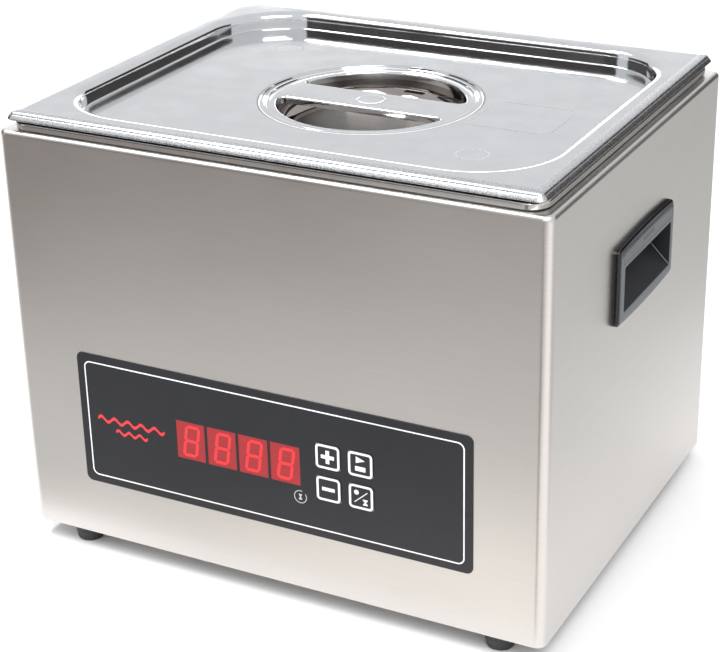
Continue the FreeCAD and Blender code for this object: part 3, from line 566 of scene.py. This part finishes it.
# (inset, depth) of a finger opening's rounded edge, mm.
FINGER_EDGE = [(0.0, 0.0), (0.35, 0.06), (0.75, 0.32), (0.98, 0.8), (1.05, 1.4), (1.05, 4.2)]
FINGER_CORNER = 5.0 * MM
THUMB_SPOT = [(8.6, 0.02), (8.3, 0.14), (7.9, 0.22), (7.4, 0.12), (6.8, 0.05), (3.0, 0.03)]
DISH_RIM = [(63.5, 0.0), (57.4, 0.0), (56.9, -0.2), (56.4, -0.8)]
DISH_FILLET = 9 * MM
STAMP_RISE = 0.06 * MM
ROUND_STAMPS = ((94 * MM, -66 * MM), (-94 * MM, 71 * MM))
FRAME_STAMP = ((94 * MM, 2 * MM), (50 * MM, 46 * MM), 7 * MM, 0.5 * MM)


def lid_sheet():
    """Pressed lid: hemmed rim, stepped well wall and flat middle with a round opening."""
    width, depth = 2 * LID_HIGH.x, 2 * LID_HIGH.y
    bm = bmesh.new()

    def ring(inset, z):
        radius = max(LID_CORNER - inset, 1.4 * MM)
        return at_height(rounded(width - 2 * inset, depth - 2 * inset, radius), z)

    def well(grow, z):
        return at_height(rounded(WELL_W + 2 * grow, WELL_D + 2 * grow, WELL_R + grow), z)

    drop = (LID_TOP - TANK_HIGH.z) / LID_STACK
    deep = (LID_TOP - PLATEAU) / PAN_DEPTH
    rim = [ring(i * MM, LID_TOP - d * drop) for i, d in LID_ROLL]
    # The inside of the hem wears the near-black painted shade.
    loft(bm, rim[:HEM_POINTS], material=2)
    loft(bm, rim[HEM_POINTS - 1:], material=1)
    upper = [rim[-1]] + [well(g * MM, LID_TOP - d * deep) for g, d in WELL_WALL]
    foot = loft(bm, upper + [well(WELL_FOOT, PLATEAU)])[-1]
    opening = [bm.verts.new(p) for p in at_height(circle(RING_R + 0.8 * MM), PLATEAU)]
    fill_between(bm, [opening, foot])
    lower = [rim[0]] + [well(g * MM + SHEET, LID_TOP - d * deep - SHEET) for g, d in WELL_WALL]
    foot = loft(bm, lower + [well(WELL_FOOT, PLATEAU - SHEET)])[-1]
    opening = [bm.verts.new(p) for p in at_height(circle(RING_R), PLATEAU - SHEET)]
    fill_between(bm, [opening, foot])
    return piece("lid_sheet", bm, "lid", "lid_steel", ["lid_steel", "lid_rim", "hem_painted_shade"],
                 replaces=["lid_pan"])


def finger_cut(side, inset):
    """Outline of one finger opening, shrunk by inset."""
    radius = DISH_R - inset
    chord = BAR_HALF + inset
    corner = FINGER_CORNER - inset
    cx = math.sqrt((radius - corner) ** 2 - (chord + corner) ** 2)
    cy = chord + corner
    turn = math.atan2(cy, cx) / (PI / 2)
    points = arc_points(cx, cy, corner, -1, turn, 8)
    points += arc_points(0, 0, radius, turn, 2 - turn, 48)[1:-1]
    points += arc_points(-cx, cy, corner, 2 - turn, 3, 8)
    points += [(-cx + 2 * cx * k / 12, chord) for k in range(1, 12)]
    return [(x, side * y) for x, y in points]


def grip_plate():
    """Sunk ring with two fine ridges, and the bar between two finger openings."""
    level = PLATEAU - BAR_DROP
    bm = bmesh.new()
    ring = turned(bm, [(r * MM, PLATEAU + z * MM) for r, z in RING_STEPS])
    loops = [ring[-1]]
    for side in (-1, 1):
        edge = [at_height(finger_cut(side, inset * MM), level - z * MM) for inset, z in FINGER_EDGE]
        loops.append(loft(bm, edge)[0])
    fill_between(bm, loops)
    return piece("grip_plate", bm, "lid", "lid_steel", replaces=["lid_grip_plate"])


def thumb_spot():
    """Shallow stamped spot in the middle of the bar."""
    level = PLATEAU - BAR_DROP
    bm = bmesh.new()
    loops = turned(bm, [(r * MM, level + z * MM) for r, z in THUMB_SPOT], steps=64)
    cap(bm, loops[-1])
    return piece("thumb_spot", bm, "lid", "lid_steel")


def dish():
    """Polished bowl under the finger openings, with a blasted floor; both wear painted shade,
    darker than the lid's steel.
    """
    top = PLATEAU - 2 * BAR_DROP
    floor = DISH_LOW.z + SHEET
    fillet = floor + DISH_FILLET
    sunk = floor - 0.25 * MM
    bm = bmesh.new()
    wall = [(r * MM, top + z * MM) for r, z in DISH_RIM]
    wall += [(DISH_R - inset, z) for inset, z in bend(0, fillet, DISH_FILLET, floor, 10)]
    loops = turned(bm, wall)
    bottom = turned(bm, [wall[-1], (46.4 * MM, sunk), (30 * MM, sunk)], material=1)
    cap(bm, bottom[-1], 1)
    outer = [(r * MM, top + z * MM - SHEET) for r, z in DISH_RIM[:2]]
    outer += [(DISH_R + SHEET - inset, z)
              for inset, z in bend(0, fillet, DISH_FILLET + SHEET, floor - SHEET, 10)]
    under = turned(bm, outer)
    cap(bm, under[-1])
    count = len(loops[0])
    for k in range(count):
        after = (k + 1) % count
        bm.faces.new((loops[0][k], loops[0][after], under[0][after], under[0][k]))
    return piece("dish_bowl", bm, "lid", "dish_steel", ["dish_steel", "dish_floor"],
                 replaces=["lid_dish"])


def lid_stamps():
    """Faint stamped outlines on the lid's flat middle."""
    low, high = PLATEAU + 0.01 * MM, PLATEAU + STAMP_RISE
    bm = bmesh.new()
    for centre in ROUND_STAMPS:
        turned(bm, [(9.3 * MM, low), (9.1 * MM, high), (8.7 * MM, high), (8.5 * MM, low)],
               centre, 64)
    frame_ring(bm, *FRAME_STAMP, PLATEAU, high)
    return piece("lid_stamps", bm, "lid", "lid_steel", ["lid_rim"])


def frame_ring(bm, centre, size, radius, line, low, high):
    """Thin raised line round a rounded rectangle, on a level surface."""
    outer = rounded(size[0], size[1], radius, centre)
    inner = rounded(size[0] - 2 * line, size[1] - 2 * line, radius - line, centre)
    loft(bm, [at_height(outer, low), at_height(outer, high), at_height(inner, high),
              at_height(inner, low)])


# ---- control panel ----------------------------------------------------------
FILM_Y = FILM_LOW.y
FILM_W = FILM_HIGH.x - FILM_LOW.x
FILM_H = FILM_HIGH.z - FILM_LOW.z
FILM_MID = ((FILM_HIGH.x + FILM_LOW.x) / 2, (FILM_HIGH.z + FILM_LOW.z) / 2)
PRINT_RISE = 0.05 * MM
PRINT_BASE = 0.02 * MM
# (inset, rise) of the film's and a key's rounded edge, mm.
FILM_EDGE = [(0.0, 0.0), (0.0, 0.3), (0.06, 0.42), (0.2, 0.5)]
FILM_CORNER = 4
FRAME_LINE = ((242.1 * MM, 74.8 * MM), 4.2 * MM, 0.8 * MM)
WINDOW_W = 18.9 * MM
WINDOW_H = WINDOWS_HIGH.z - WINDOWS_LOW.z
WINDOW_PITCH = (WINDOWS_HIGH.x - WINDOWS_LOW.x - WINDOW_W) / 3
WINDOW_Z = (WINDOWS_HIGH.z + WINDOWS_LOW.z) / 2
WINDOW_FACE = FILM_Y + 0.1 * MM
KEY_HOLE = 16.2 * MM
KEY_EDGE = [(0.0, 0.0), (0.0, 0.32), (0.1, 0.44), (0.35, 0.5)]
KEY_CORNER = 2.5
KEY_TOP = 0.55
KEY_FACE = 0.08 * MM
KEY_STEM_R = 2.0 * MM
# (inset from the key's side, corner radius) of the white outline, mm.
KEY_OUTLINE = ((0.35, 2.3), (1.75, 1.2))


def window_centres():
    first = WINDOWS_LOW.x + WINDOW_W / 2
    return [(first + WINDOW_PITCH * k, WINDOW_Z) for k in range(4)]


def key_centre(name):
    low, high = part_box(name)
    return (low.x + high.x) / 2, (low.z + high.z) / 2


def printed_line(bm, outer, inner, y, material=0):
    """Raised printed line between two outlines on the panel."""
    base, face = y + PRINT_BASE, y - PRINT_RISE
    loft(bm, [facing_front(outer, base), facing_front(outer, face),
              facing_front(inner, face), facing_front(inner, base)], material=material)


def printed_shape(bm, points, y, material=0):
    """Raised printed patch on the panel."""
    base, face = y + PRINT_BASE, y - PRINT_RISE
    solid(bm, [facing_front(points, base), facing_front(points, face)], material)


def bar_points(x, z, width, height, radius=0.3 * MM):
    return rounded(width, height, radius, (x, z), 3)


def panel_film():
    """Front film with a softened edge and openings for keys and windows."""
    bm = bmesh.new()
    rings = []
    for inset, rise in FILM_EDGE:
        width, height = FILM_W - 2 * inset * MM, FILM_H - 2 * inset * MM
        outline = rounded(width, height, (FILM_CORNER - inset) * MM, FILM_MID)
        rings.append(facing_front(outline, FRONT_Y - rise * MM))
    loops = [loft(bm, rings)[-1]]
    holes = [rounded(WINDOW_W, WINDOW_H, 0.3 * MM, c, 3) for c in window_centres()]
    holes += [rounded(KEY_HOLE, KEY_HOLE, 2.8 * MM, key_centre(k), 6) for k in KEYS]
    for hole in holes:
        loops.append(loft(bm, [facing_front(hole, FILM_Y), facing_front(hole, FRONT_Y)])[0])
    fill_between(bm, loops)
    return piece("panel_face", bm, "housing", "panel_film", replaces=["panel_film"])


def panel_frame_line():
    """White line printed round the panel."""
    size, radius, line = FRAME_LINE
    bm = bmesh.new()
    outer = rounded(*size, radius, FILM_MID)
    inner = rounded(size[0] - 2 * line, size[1] - 2 * line, radius - line, FILM_MID)
    printed_line(bm, outer, inner, FILM_Y)
    return piece("panel_frame_line", bm, "housing", "panel_film", ["white_print"])


def windows():
    """Four red windows, slightly crowned at the edge."""
    edge = ((0.0, FRONT_Y), (0.0, WINDOW_FACE + 0.06 * MM), (0.3 * MM, WINDOW_FACE))
    bm = bmesh.new()
    for centre in window_centres():
        solid(bm, [facing_front(rounded(WINDOW_W - i, WINDOW_H - i, 0.4 * MM, centre, 3), y)
                   for i, y in edge])
    return piece("display_glass", bm, "housing", "red_window", replaces=["display_windows"])


# Digits: half width and height to the strokes' middles, stroke, gap at a corner, lean.
DIGIT_HALF = (4.1 * MM, 9.2 * MM)
STROKE = 1.9 * MM
CORNER_GAP = 1.05 * MM
LEAN = 0.145
DIGIT_SHIFT = 0.5 * MM
SEGMENT_RISE = 0.04 * MM


def segment(bm, start, end, centre):
    """One lit bar with pointed ends, leaning as the whole digit does."""
    a, b = Vector(start), Vector(end)
    along = (b - a).normalized()
    across = Vector((-along.y, along.x)) * STROKE / 2
    tip = along * STROKE / 2
    points = [a - tip, a + across, b + across, b + tip, b - across, a - across]
    leaned = [(centre[0] + p.x + LEAN * p.y, centre[1] + p.y) for p in points]
    solid(bm, [facing_front(leaned, WINDOW_FACE + PRINT_BASE),
               facing_front(leaned, WINDOW_FACE - SEGMENT_RISE)])


def digits():
    """Seven-segment figures, every segment lit."""
    half_w, half_h = DIGIT_HALF
    gap = CORNER_GAP
    bars = [((-half_w + gap, z), (half_w - gap, z)) for z in (-half_h, 0.0, half_h)]
    for x in (-half_w, half_w):
        bars += [((x, gap), (x, half_h - gap)), ((x, -half_h + gap), (x, -gap))]
    bm = bmesh.new()
    for x, z in window_centres():
        for start, end in bars:
            segment(bm, start, end, (x + DIGIT_SHIFT, z))
    return piece("display_digits", bm, "housing", "red_window", ["red_segment"])


def key_pad(name):
    """Embossed key: crowned pad, white outline and its symbol, all one print."""
    low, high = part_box(name)
    centre = key_centre(name)
    size = high.x - low.x

    def square(inset, radius):
        side = size - 2 * inset * MM
        return rounded(side, side, radius * MM, centre, 8)

    bm = bmesh.new()
    solid(bm, [facing_front(square(inset, KEY_CORNER - inset), low.y + (KEY_TOP - rise) * MM)
               for inset, rise in KEY_EDGE])
    stem = circle(KEY_STEM_R, centre, 24)
    solid(bm, [facing_front(stem, low.y + 0.4 * MM), facing_front(stem, high.y)])
    face = low.y + KEY_FACE
    outer, inner = [square(*line) for line in KEY_OUTLINE]
    printed_line(bm, outer, inner, face, 1)
    for shape in KEY_SYMBOLS[name](centre):
        printed_shape(bm, shape, face, 1)
    return piece(name + "_pad", bm, name, "key_film", ["key_film", "white_print"], replaces=[name])


def plus_symbol(c):
    upper = [(-1.15, 4.1), (-1.15, 1.15), (-4.1, 1.15), (-4.1, -1.15), (-1.15, -1.15),
             (-1.15, -4.1)]
    return [shifted(upper + [(-x, -z) for x, z in upper], c)]


def minus_symbol(c):
    return [bar_points(c[0], c[1], 8.0 * MM, 2.2 * MM)]


def start_stop_symbol(c):
    """A start triangle over a stop bar."""
    triangle = [(-2.6, 0.7), (2.9, 2.75), (-2.6, 4.8)]
    return [shifted(triangle, c), bar_points(c[0], c[1] - 2.6 * MM, 6.4 * MM, 2.9 * MM)]


def mode_symbol(c):
    """A degree ring and an hourglass, one each side of a slanted stroke."""
    stroke = [(-4.2, -3.4), (-3.9, -3.8), (4.2, 3.4), (3.9, 3.8)]
    degree = circle(1.5 * MM, (c[0] - 2.7 * MM, c[1] + 2.7 * MM), 20)
    glass = [(1.2, -1.0), (4.2, -1.0), (4.2, -1.5), (3.0, -2.8), (4.2, -4.1), (4.2, -4.6),
             (1.2, -4.6), (1.2, -4.1), (2.4, -2.8), (1.2, -1.5)]
    return [shifted(stroke, c), degree, shifted(glass, c)]


KEY_SYMBOLS = {
    "key_plus": plus_symbol,
    "key_minus": minus_symbol,
    "key_start_stop": start_stop_symbol,
    "key_mode": mode_symbol,
}


TIMER_CENTRE = (20.5 * MM, 71.9 * MM)
TIMER_RING = (4.1 * MM, 3.6 * MM)
TIMER_SPAN = (-3.2, 0.4)
# Waves: x from and to, z, number of waves, height, line width, all in mm but the number.
WAVES = ((-114, -68, 92.4, 5, 1.5, 2.0), (-102, -80, 85.6, 3, 1.2, 1.8))


def timer_mark():
    """Small hourglass in an open ring, under the last window."""
    bm = bmesh.new()
    outer, inner = [arc_points(*TIMER_CENTRE, radius, *TIMER_SPAN, 40) for radius in TIMER_RING]
    printed_shape(bm, outer + inner[::-1], FILM_Y)
    glass = [(-1.1, 1.8), (1.1, 1.8), (1.1, 1.4), (0.3, 0), (1.1, -1.4), (1.1, -1.8), (-1.1, -1.8),
             (-1.1, -1.4), (-0.3, 0), (-1.1, 1.4)]
    printed_shape(bm, shifted(glass, TIMER_CENTRE), FILM_Y)
    return piece("timer_mark", bm, "housing", "panel_film", ["grey_print"])


def wave_band(x_low, x_high, z, waves, height, line):
    """Outline of a wavy line, in mm."""
    steps = waves * 16
    middle = [(x_low + (x_high - x_low) * k / steps,
               z + height * math.sin(2 * PI * waves * k / steps)) for k in range(steps + 1)]
    return [(x, b + line / 2) for x, b in middle] + [(x, b - line / 2) for x, b in middle[::-1]]


def water_mark():
    """Generic red water pictogram: a long wave over a short one, its red ink given a painted glow.
    """
    bm = bmesh.new()
    for wave in WAVES:
        printed_shape(bm, shifted(wave_band(*wave), (0, 0)), FILM_Y)
    return piece("water_mark", bm, "housing", "panel_film", ["red_print_glow"])


# ---- side grips -------------------------------------------------------------
MOUTH_Y = (-35.7 * MM, 39.2 * MM)
MOUTH_Z = (173.0 * MM, 198.8 * MM)
POCKET_TOP = 204.5 * MM
GRIP_FACE = GRIP_HIGH.x - 0.05 * MM
GRIP_BACK = GRIP_LOW.x + 1.5 * MM
GRIP_CORNER = 3.5
GRIP_BOW = 1.5 * MM
# (inset, depth, extra inset at the top) from the grip's outline and face, mm.
GRIP_EDGE = [(0, 4.0, 0), (0, 2.6, 0), (0.35, 2.35, 0), (0.35, 2.15, 0), (0, 1.9, 0),
             (0.1, 1.3, 0), (0.6, 0.75, 0), (1.4, 0.4, 0)]
GRIP_BEVEL = [(2.0, 0.15, 2.0), (2.3, 0.0, 2.4)]
# (outward growth, depth) of the mouth's rounded edge, mm.
MOUTH_EDGE = [(1.1, 0.0), (0.6, 0.1), (0.35, 0.35)]
POCKET_GROW = 0.35 * MM
POCKET_SOFT = 1.0 * MM
BAND_Y = (-38.8 * MM, 40.4 * MM)
BAND_Z = (201.8 * MM, 209.6 * MM)
BAND_GROOVE = [(-0.25, 0.01), (-0.2, 0.03), (0.15, 0.03), (0.2, 0.01)]
STUD_CENTRE = (0.8 * MM, 205.7 * MM)
STUD_PITCH = 3.6 * MM
STUD_R = 1.5 * MM


def bowed(y_low, y_high, z_low, z_high, radius, bow, steps=16):
    """Rounded outline whose top and bottom bow out, as (y, z) pairs."""
    width, height = y_high - y_low, z_high - z_low - 2 * bow
    middle = ((y_low + y_high) / 2, (z_low + z_high) / 2)
    corners = rounded(width, height, radius, middle, 6)
    points = []
    for k, point in enumerate(corners):
        points.append(point)
        after = corners[(k + 1) % len(corners)]
        if k % 7 == 6:
            points += [(point[0] + (after[0] - point[0]) * s / steps,
                        point[1] + (after[1] - point[1]) * s / steps) for s in range(1, steps)]
    lifted = []
    for y, z in points:
        across = (y - middle[0]) / (width / 2)
        up = (z - middle[1]) / (height / 2)
        lifted.append((y, z + bow * up * (1 - across * across)))
    return lifted


def side_grip(name, side):
    """Recessed carrying grip: bowed bezel, label band and a pocket with a sloping floor."""
    bm = bmesh.new()

    def outer(inset, drop, top):
        i = inset * MM
        outline = bowed(GRIP_LOW.y + i, GRIP_HIGH.y - i, GRIP_LOW.z + i,
                        GRIP_HIGH.z - i - top * MM, (GRIP_CORNER - inset * 0.7) * MM, GRIP_BOW)
        return facing_side(outline, side * (GRIP_FACE - drop * MM))

    def mouth(grow, drop):
        g = grow * MM
        outline = bowed(MOUTH_Y[0] - g, MOUTH_Y[1] + g, MOUTH_Z[0] - g, MOUTH_Z[1] + g,
                        (1.0 + grow) * MM, 0.0)
        return facing_side(outline, side * (GRIP_FACE - drop * MM))

    edge = [outer(*place) for place in GRIP_EDGE]
    bevel = edge[-1:] + [outer(*place) for place in GRIP_BEVEL]
    # The bezel's rounded side wears painted shade (near-black plastic).
    loft(bm, edge, material=1)
    # The top bevel wears painted shade (darker plastic).
    loft(bm, bevel, material=3)
    loft(bm, bevel[-1:] + [mouth(*place) for place in MOUTH_EDGE])
    grip_pocket(bm, side)
    label_band(bm, side)
    return piece(name + "_shell", bm, "housing", "grip_plastic",
                 ["grip_plastic", "grip_edge_shade", "grip_pocket", "grip_bevel_shade"], replaces=[name],
                 angle=28)


def grip_pocket(bm, side):
    """Pocket with a floor that slopes up and in, a roof behind the band, and flat ends."""
    grow, soft, back = POCKET_GROW, POCKET_SOFT, GRIP_BACK
    face = GRIP_FACE - grow
    wall = SIDE_X - SHEET
    low, high = MOUTH_Z[0] - grow, MOUTH_Z[1] + grow
    rise = low + face - back
    profile = [(face, low), (back + soft, rise - soft), (back + soft * 0.3, rise - soft * 0.1),
               (back, rise + soft), (back, POCKET_TOP - soft),
               (back + soft * 0.3, POCKET_TOP - soft * 0.3), (back + soft, POCKET_TOP),
               (wall, POCKET_TOP), (wall, high), (face, high)]
    ends = (MOUTH_Y[0] - grow, MOUTH_Y[1] + grow)
    near, far = [[bm.verts.new((side * x, y, z)) for x, z in profile] for y in ends]
    # The pocket's faces wear painted shade: plastic darker than the grip's face.
    for k in range(len(profile) - 1):
        bm.faces.new((near[k], near[k + 1], far[k + 1], far[k])).material_index = 2
    for loop in (near, far):
        cap(bm, loop, 2)
    rib = ((0, 0), (0.35 * MM, 0), (0, 0.5 * MM))
    solid(bm, [facing_side([(ends[1] - d, z + e) for d, e in rib], side * x)
               for x, z in (profile[0], profile[1])])


def label_band(bm, side):
    """Groove-framed strip over the mouth, and five small oval studs."""
    groove = []
    for inset, rise in BAND_GROOVE:
        i = inset * MM
        outline = bowed(BAND_Y[0] + i, BAND_Y[1] - i, BAND_Z[0] + i, BAND_Z[1] - i, 0.6 * MM, 0.0)
        groove.append(facing_side(outline, side * (GRIP_FACE + rise * MM)))
    # The groove wears the pocket's painted shade; the studs wear the same darker plastic.
    loft(bm, groove, material=2)
    for k in range(-2, 3):
        centre = (STUD_CENTRE[0] + k * STUD_PITCH, STUD_CENTRE[1])
        oval = shifted([(a * 0.6 + b * 0.15, b) for a, b in circle(STUD_R, steps=20)], centre, 1)
        solid(bm, [facing_side(oval, side * (GRIP_FACE + d)) for d in (-0.2 * MM, 0.03 * MM)], 2)


# ---- feet -------------------------------------------------------------------
# (radius, height) of a foot, mm, from its sunk screw seat outwards.
FOOT_SIDE = [(4.2, 5.0), (4.2, 0.4), (4.6, 0.0), (7.0, 0.0), (7.6, 0.3), (8.1, 1.0), (9.0, 6.5),
             (8.85, 6.8), (8.85, 7.2), (9.15, 7.6), (9.7, 11.2), (9.9, 12.0)]
FOOT_INSET = 10 * MM


def feet():
    """Four turned rubber feet with a grooved side and a sunk screw seat."""
    bm = bmesh.new()
    profile = [(r * MM, FEET_LOW.z + z * MM) for r, z in FOOT_SIDE]
    profile.append((profile[-1][0], FEET_HIGH.z))
    x, y = FEET_HIGH.x - FOOT_INSET, FEET_HIGH.y - FOOT_INSET
    for place in [(sx * x, sy * y) for sx in (-1, 1) for sy in (-1, 1)]:
        loops = turned(bm, profile, place, 48)
        cap(bm, loops[0])
        cap(bm, loops[-1])
    return piece("rubber_feet", bm, "housing", "foot_rubber", replaces=["feet"])


# ---- camera, light and stage ------------------------------------------------
CAMERA_PLACE = (0.48341, -0.93372, 0.59635)
CAMERA_TURN = (27.884, 24.491, -1.3217)
LENS = 94.46

CARD_LIFT = 0.004
DARK = (0.034, 0.028, 0.025)
# Tones along a floor card, as (distance, colour): what the steel above it mirrors.
FRONT_ALONG = (0.5, 1.0, 0.0)
FRONT_TONES = [(-0.80, (0.160, 0.142, 0.133)), (-0.66, (0.180, 0.162, 0.152)),
               (-0.60, (0.39, 0.38, 0.37)), (-0.42, (0.43, 0.425, 0.415)),
               (-0.30, (0.42, 0.415, 0.405)), (-0.18, (0.74, 0.72, 0.69)),
               (-0.10, (0.80, 0.77, 0.74))]
SIDE_ALONG = (-1.0, -0.35, 0.0)
SIDE_TONES = [(-0.60, (0.45, 0.45, 0.44)), (-0.47, (0.42, 0.42, 0.41)),
              (-0.40, (0.47, 0.47, 0.46)), (-0.35, (0.58, 0.58, 0.57)),
              (-0.30, (0.70, 0.70, 0.69)), (-0.25, (0.84, 0.84, 0.83)),
              (-0.17, (0.89, 0.89, 0.88))]
# Standing cards: name, plan from and to, height from and to.
DARK_CARDS = (
    ("card_camera", (-1.85, -1.95), (-0.65, -2.2), 0.02, 1.75),
    ("card_left", (-1.6, -0.8), (-1.6, 0.7), 0.1, 0.95),
    ("card_back", (0.35, 2.3), (2.1, 1.1), 0.02, 1.15),
)
# Softboxes: name, place, aim, size in metres, power in watts.
SOFTBOXES = (
    ("key", (0.9, -1.2, 1.9), (0.1, -0.4, 0), (1.4, 1.4), 34),
    ("strip", (-0.9, -0.3, 1.9), (0, 0, 0.2), (1.3, 0.34), 26),
    ("low_back", (-1.0, 2.1, 0.56), (0, 0, 0.27), (2.2, 0.5), 9),
)


def camera():
    """The photograph's viewpoint: from the front right, a little above."""
    yaw, pitch, roll = [math.radians(angle) for angle in CAMERA_TURN]
    forward = Vector((-math.sin(yaw) * math.cos(pitch), math.cos(yaw) * math.cos(pitch),
                      -math.sin(pitch)))
    right = Vector((math.cos(yaw), math.sin(yaw), 0.0))
    up = right.cross(forward)
    x_axis = right * math.cos(roll) + up * math.sin(roll)
    y_axis = up * math.cos(roll) - right * math.sin(roll)
    data = bpy.data.cameras.new("camera")
    data.sensor_width = 36.0
    data.lens = LENS
    data.clip_start = 0.05
    data.clip_end = 50.0
    obj = bpy.data.objects.new("camera", data)
    bpy.context.scene.collection.objects.link(obj)
    turn = Matrix((x_axis, y_axis, -forward)).transposed().to_4x4()
    obj.matrix_world = Matrix.Translation(Vector(CAMERA_PLACE)) @ turn
    bpy.context.scene.camera = obj


def softbox(name, place, aim, size, power):
    """Rectangular light that points at a place and stays out of the camera's view."""
    data = bpy.data.lights.new(name, "AREA")
    data.shape = "RECTANGLE"
    data.size, data.size_y = size
    data.energy = power
    obj = bpy.data.objects.new(name, data)
    obj.location = place
    obj.rotation_mode = "QUATERNION"
    obj.rotation_quaternion = (Vector(aim) - Vector(place)).to_track_quat("-Z", "Y")
    obj.visible_camera = False
    bpy.context.scene.collection.objects.link(obj)


def sheet_object(name, corners, colour):
    """A flat, dull stage piece with a faint, even grain."""
    mesh = bpy.data.meshes.new(name)
    mesh.from_pydata([Vector(c) for c in corners], [], [tuple(range(len(corners)))])
    n = Nodes(name)
    slow = n.noise((3, 3, 3), 2.0)
    n.tint(n.spread(slow, 0.0, 1.0), tuple(c * 0.99 for c in colour), colour)
    n.set(Roughness=0.9)
    mesh.materials.append(n.material)
    obj = bpy.data.objects.new(name, mesh)
    bpy.context.scene.collection.objects.link(obj)
    return obj


def floor_box(low, high, lift):
    """Corners of a level rectangle."""
    return [(low[0], low[1], lift), (high[0], low[1], lift), (high[0], high[1], lift),
            (low[0], high[1], lift)]


def stage():
    """White sweep, with dark and grey cards that shade the steel softly."""
    sheet_object("floor", floor_box((-6, -6), (6, 6), 0), (0.86, 0.86, 0.86))
    card("card_front", floor_box((-2.4, -2.2), (1.2, -0.16), CARD_LIFT), (0.16, 0.14, 0.13),
         FRONT_ALONG, FRONT_TONES)
    card("card_side", floor_box((0.19, -0.1), (2.4, 2.6), CARD_LIFT), (0.42, 0.42, 0.41),
         SIDE_ALONG, SIDE_TONES)
    for name, start, end, low, high in DARK_CARDS:
        card(name, [(*start, low), (*end, low), (*end, high), (*start, high)], DARK)
    card("card_corner", [(0.163, -0.15, 0.006), (0.06, -1.30, 0.006), (0.40, -1.32, 0.006)],
         (0.07, 0.06, 0.055))
    world = bpy.data.worlds.new("world")
    world.use_nodes = True
    background = world.node_tree.nodes["Background"]
    background.inputs["Color"].default_value = (0.97, 0.98, 1.0, 1.0)
    background.inputs["Strength"].default_value = 0.85
    bpy.context.scene.world = world
    for light in SOFTBOXES:
        softbox(*light)
    bpy.context.scene.view_settings.view_transform = "Standard"


def card(name, corners, colour, along=None, stops=()):
    """A studio card that only reflections see, plain or with tones along a direction."""
    obj = sheet_object(name, corners, colour)
    obj.visible_camera = False
    obj.visible_diffuse = False
    obj.visible_shadow = False
    if along:
        tone_along(obj.data.materials[0], along, stops)


def tone_along(material, along, stops):
    """Repaints a card with soft tones, given as (distance, colour) stops."""
    nodes, links = material.node_tree.nodes, material.node_tree.links
    low, high = stops[0][0], stops[-1][0]
    coords = nodes.new("ShaderNodeTexCoord")
    reach = nodes.new("ShaderNodeVectorMath")
    reach.operation = "DOT_PRODUCT"
    reach.inputs[1].default_value = along
    span = nodes.new("ShaderNodeMapRange")
    span.inputs["From Min"].default_value = low
    span.inputs["From Max"].default_value = high
    ramp = nodes.new("ShaderNodeValToRGB")
    tones = ramp.color_ramp.elements
    tones[0].color = (*stops[0][1], 1.0)
    tones[1].color = (*stops[-1][1], 1.0)
    for place, tone in stops[1:-1]:
        tones.new((place - low) / (high - low)).color = (*tone, 1.0)
    links.new(coords.outputs["Object"], reach.inputs[0])
    links.new(reach.outputs["Value"], span.inputs["Value"])
    links.new(span.outputs["Result"], ramp.inputs["Fac"])
    links.new(ramp.outputs["Color"], nodes["Principled BSDF"].inputs["Base Color"])


# ---- build ------------------------------------------------------------------
def build():
    dress_cad_nodes()
    housing()
    tank_bowl()
    lid_sheet()
    grip_plate()
    thumb_spot()
    dish()
    lid_stamps()
    panel_film()
    panel_frame_line()
    windows()
    digits()
    for name in KEYS:
        key_pad(name)
    timer_mark()
    water_mark()
    side_grip("grip_right", 1)
    side_grip("grip_left", -1)
    feet()
    camera()
    stage()


build()
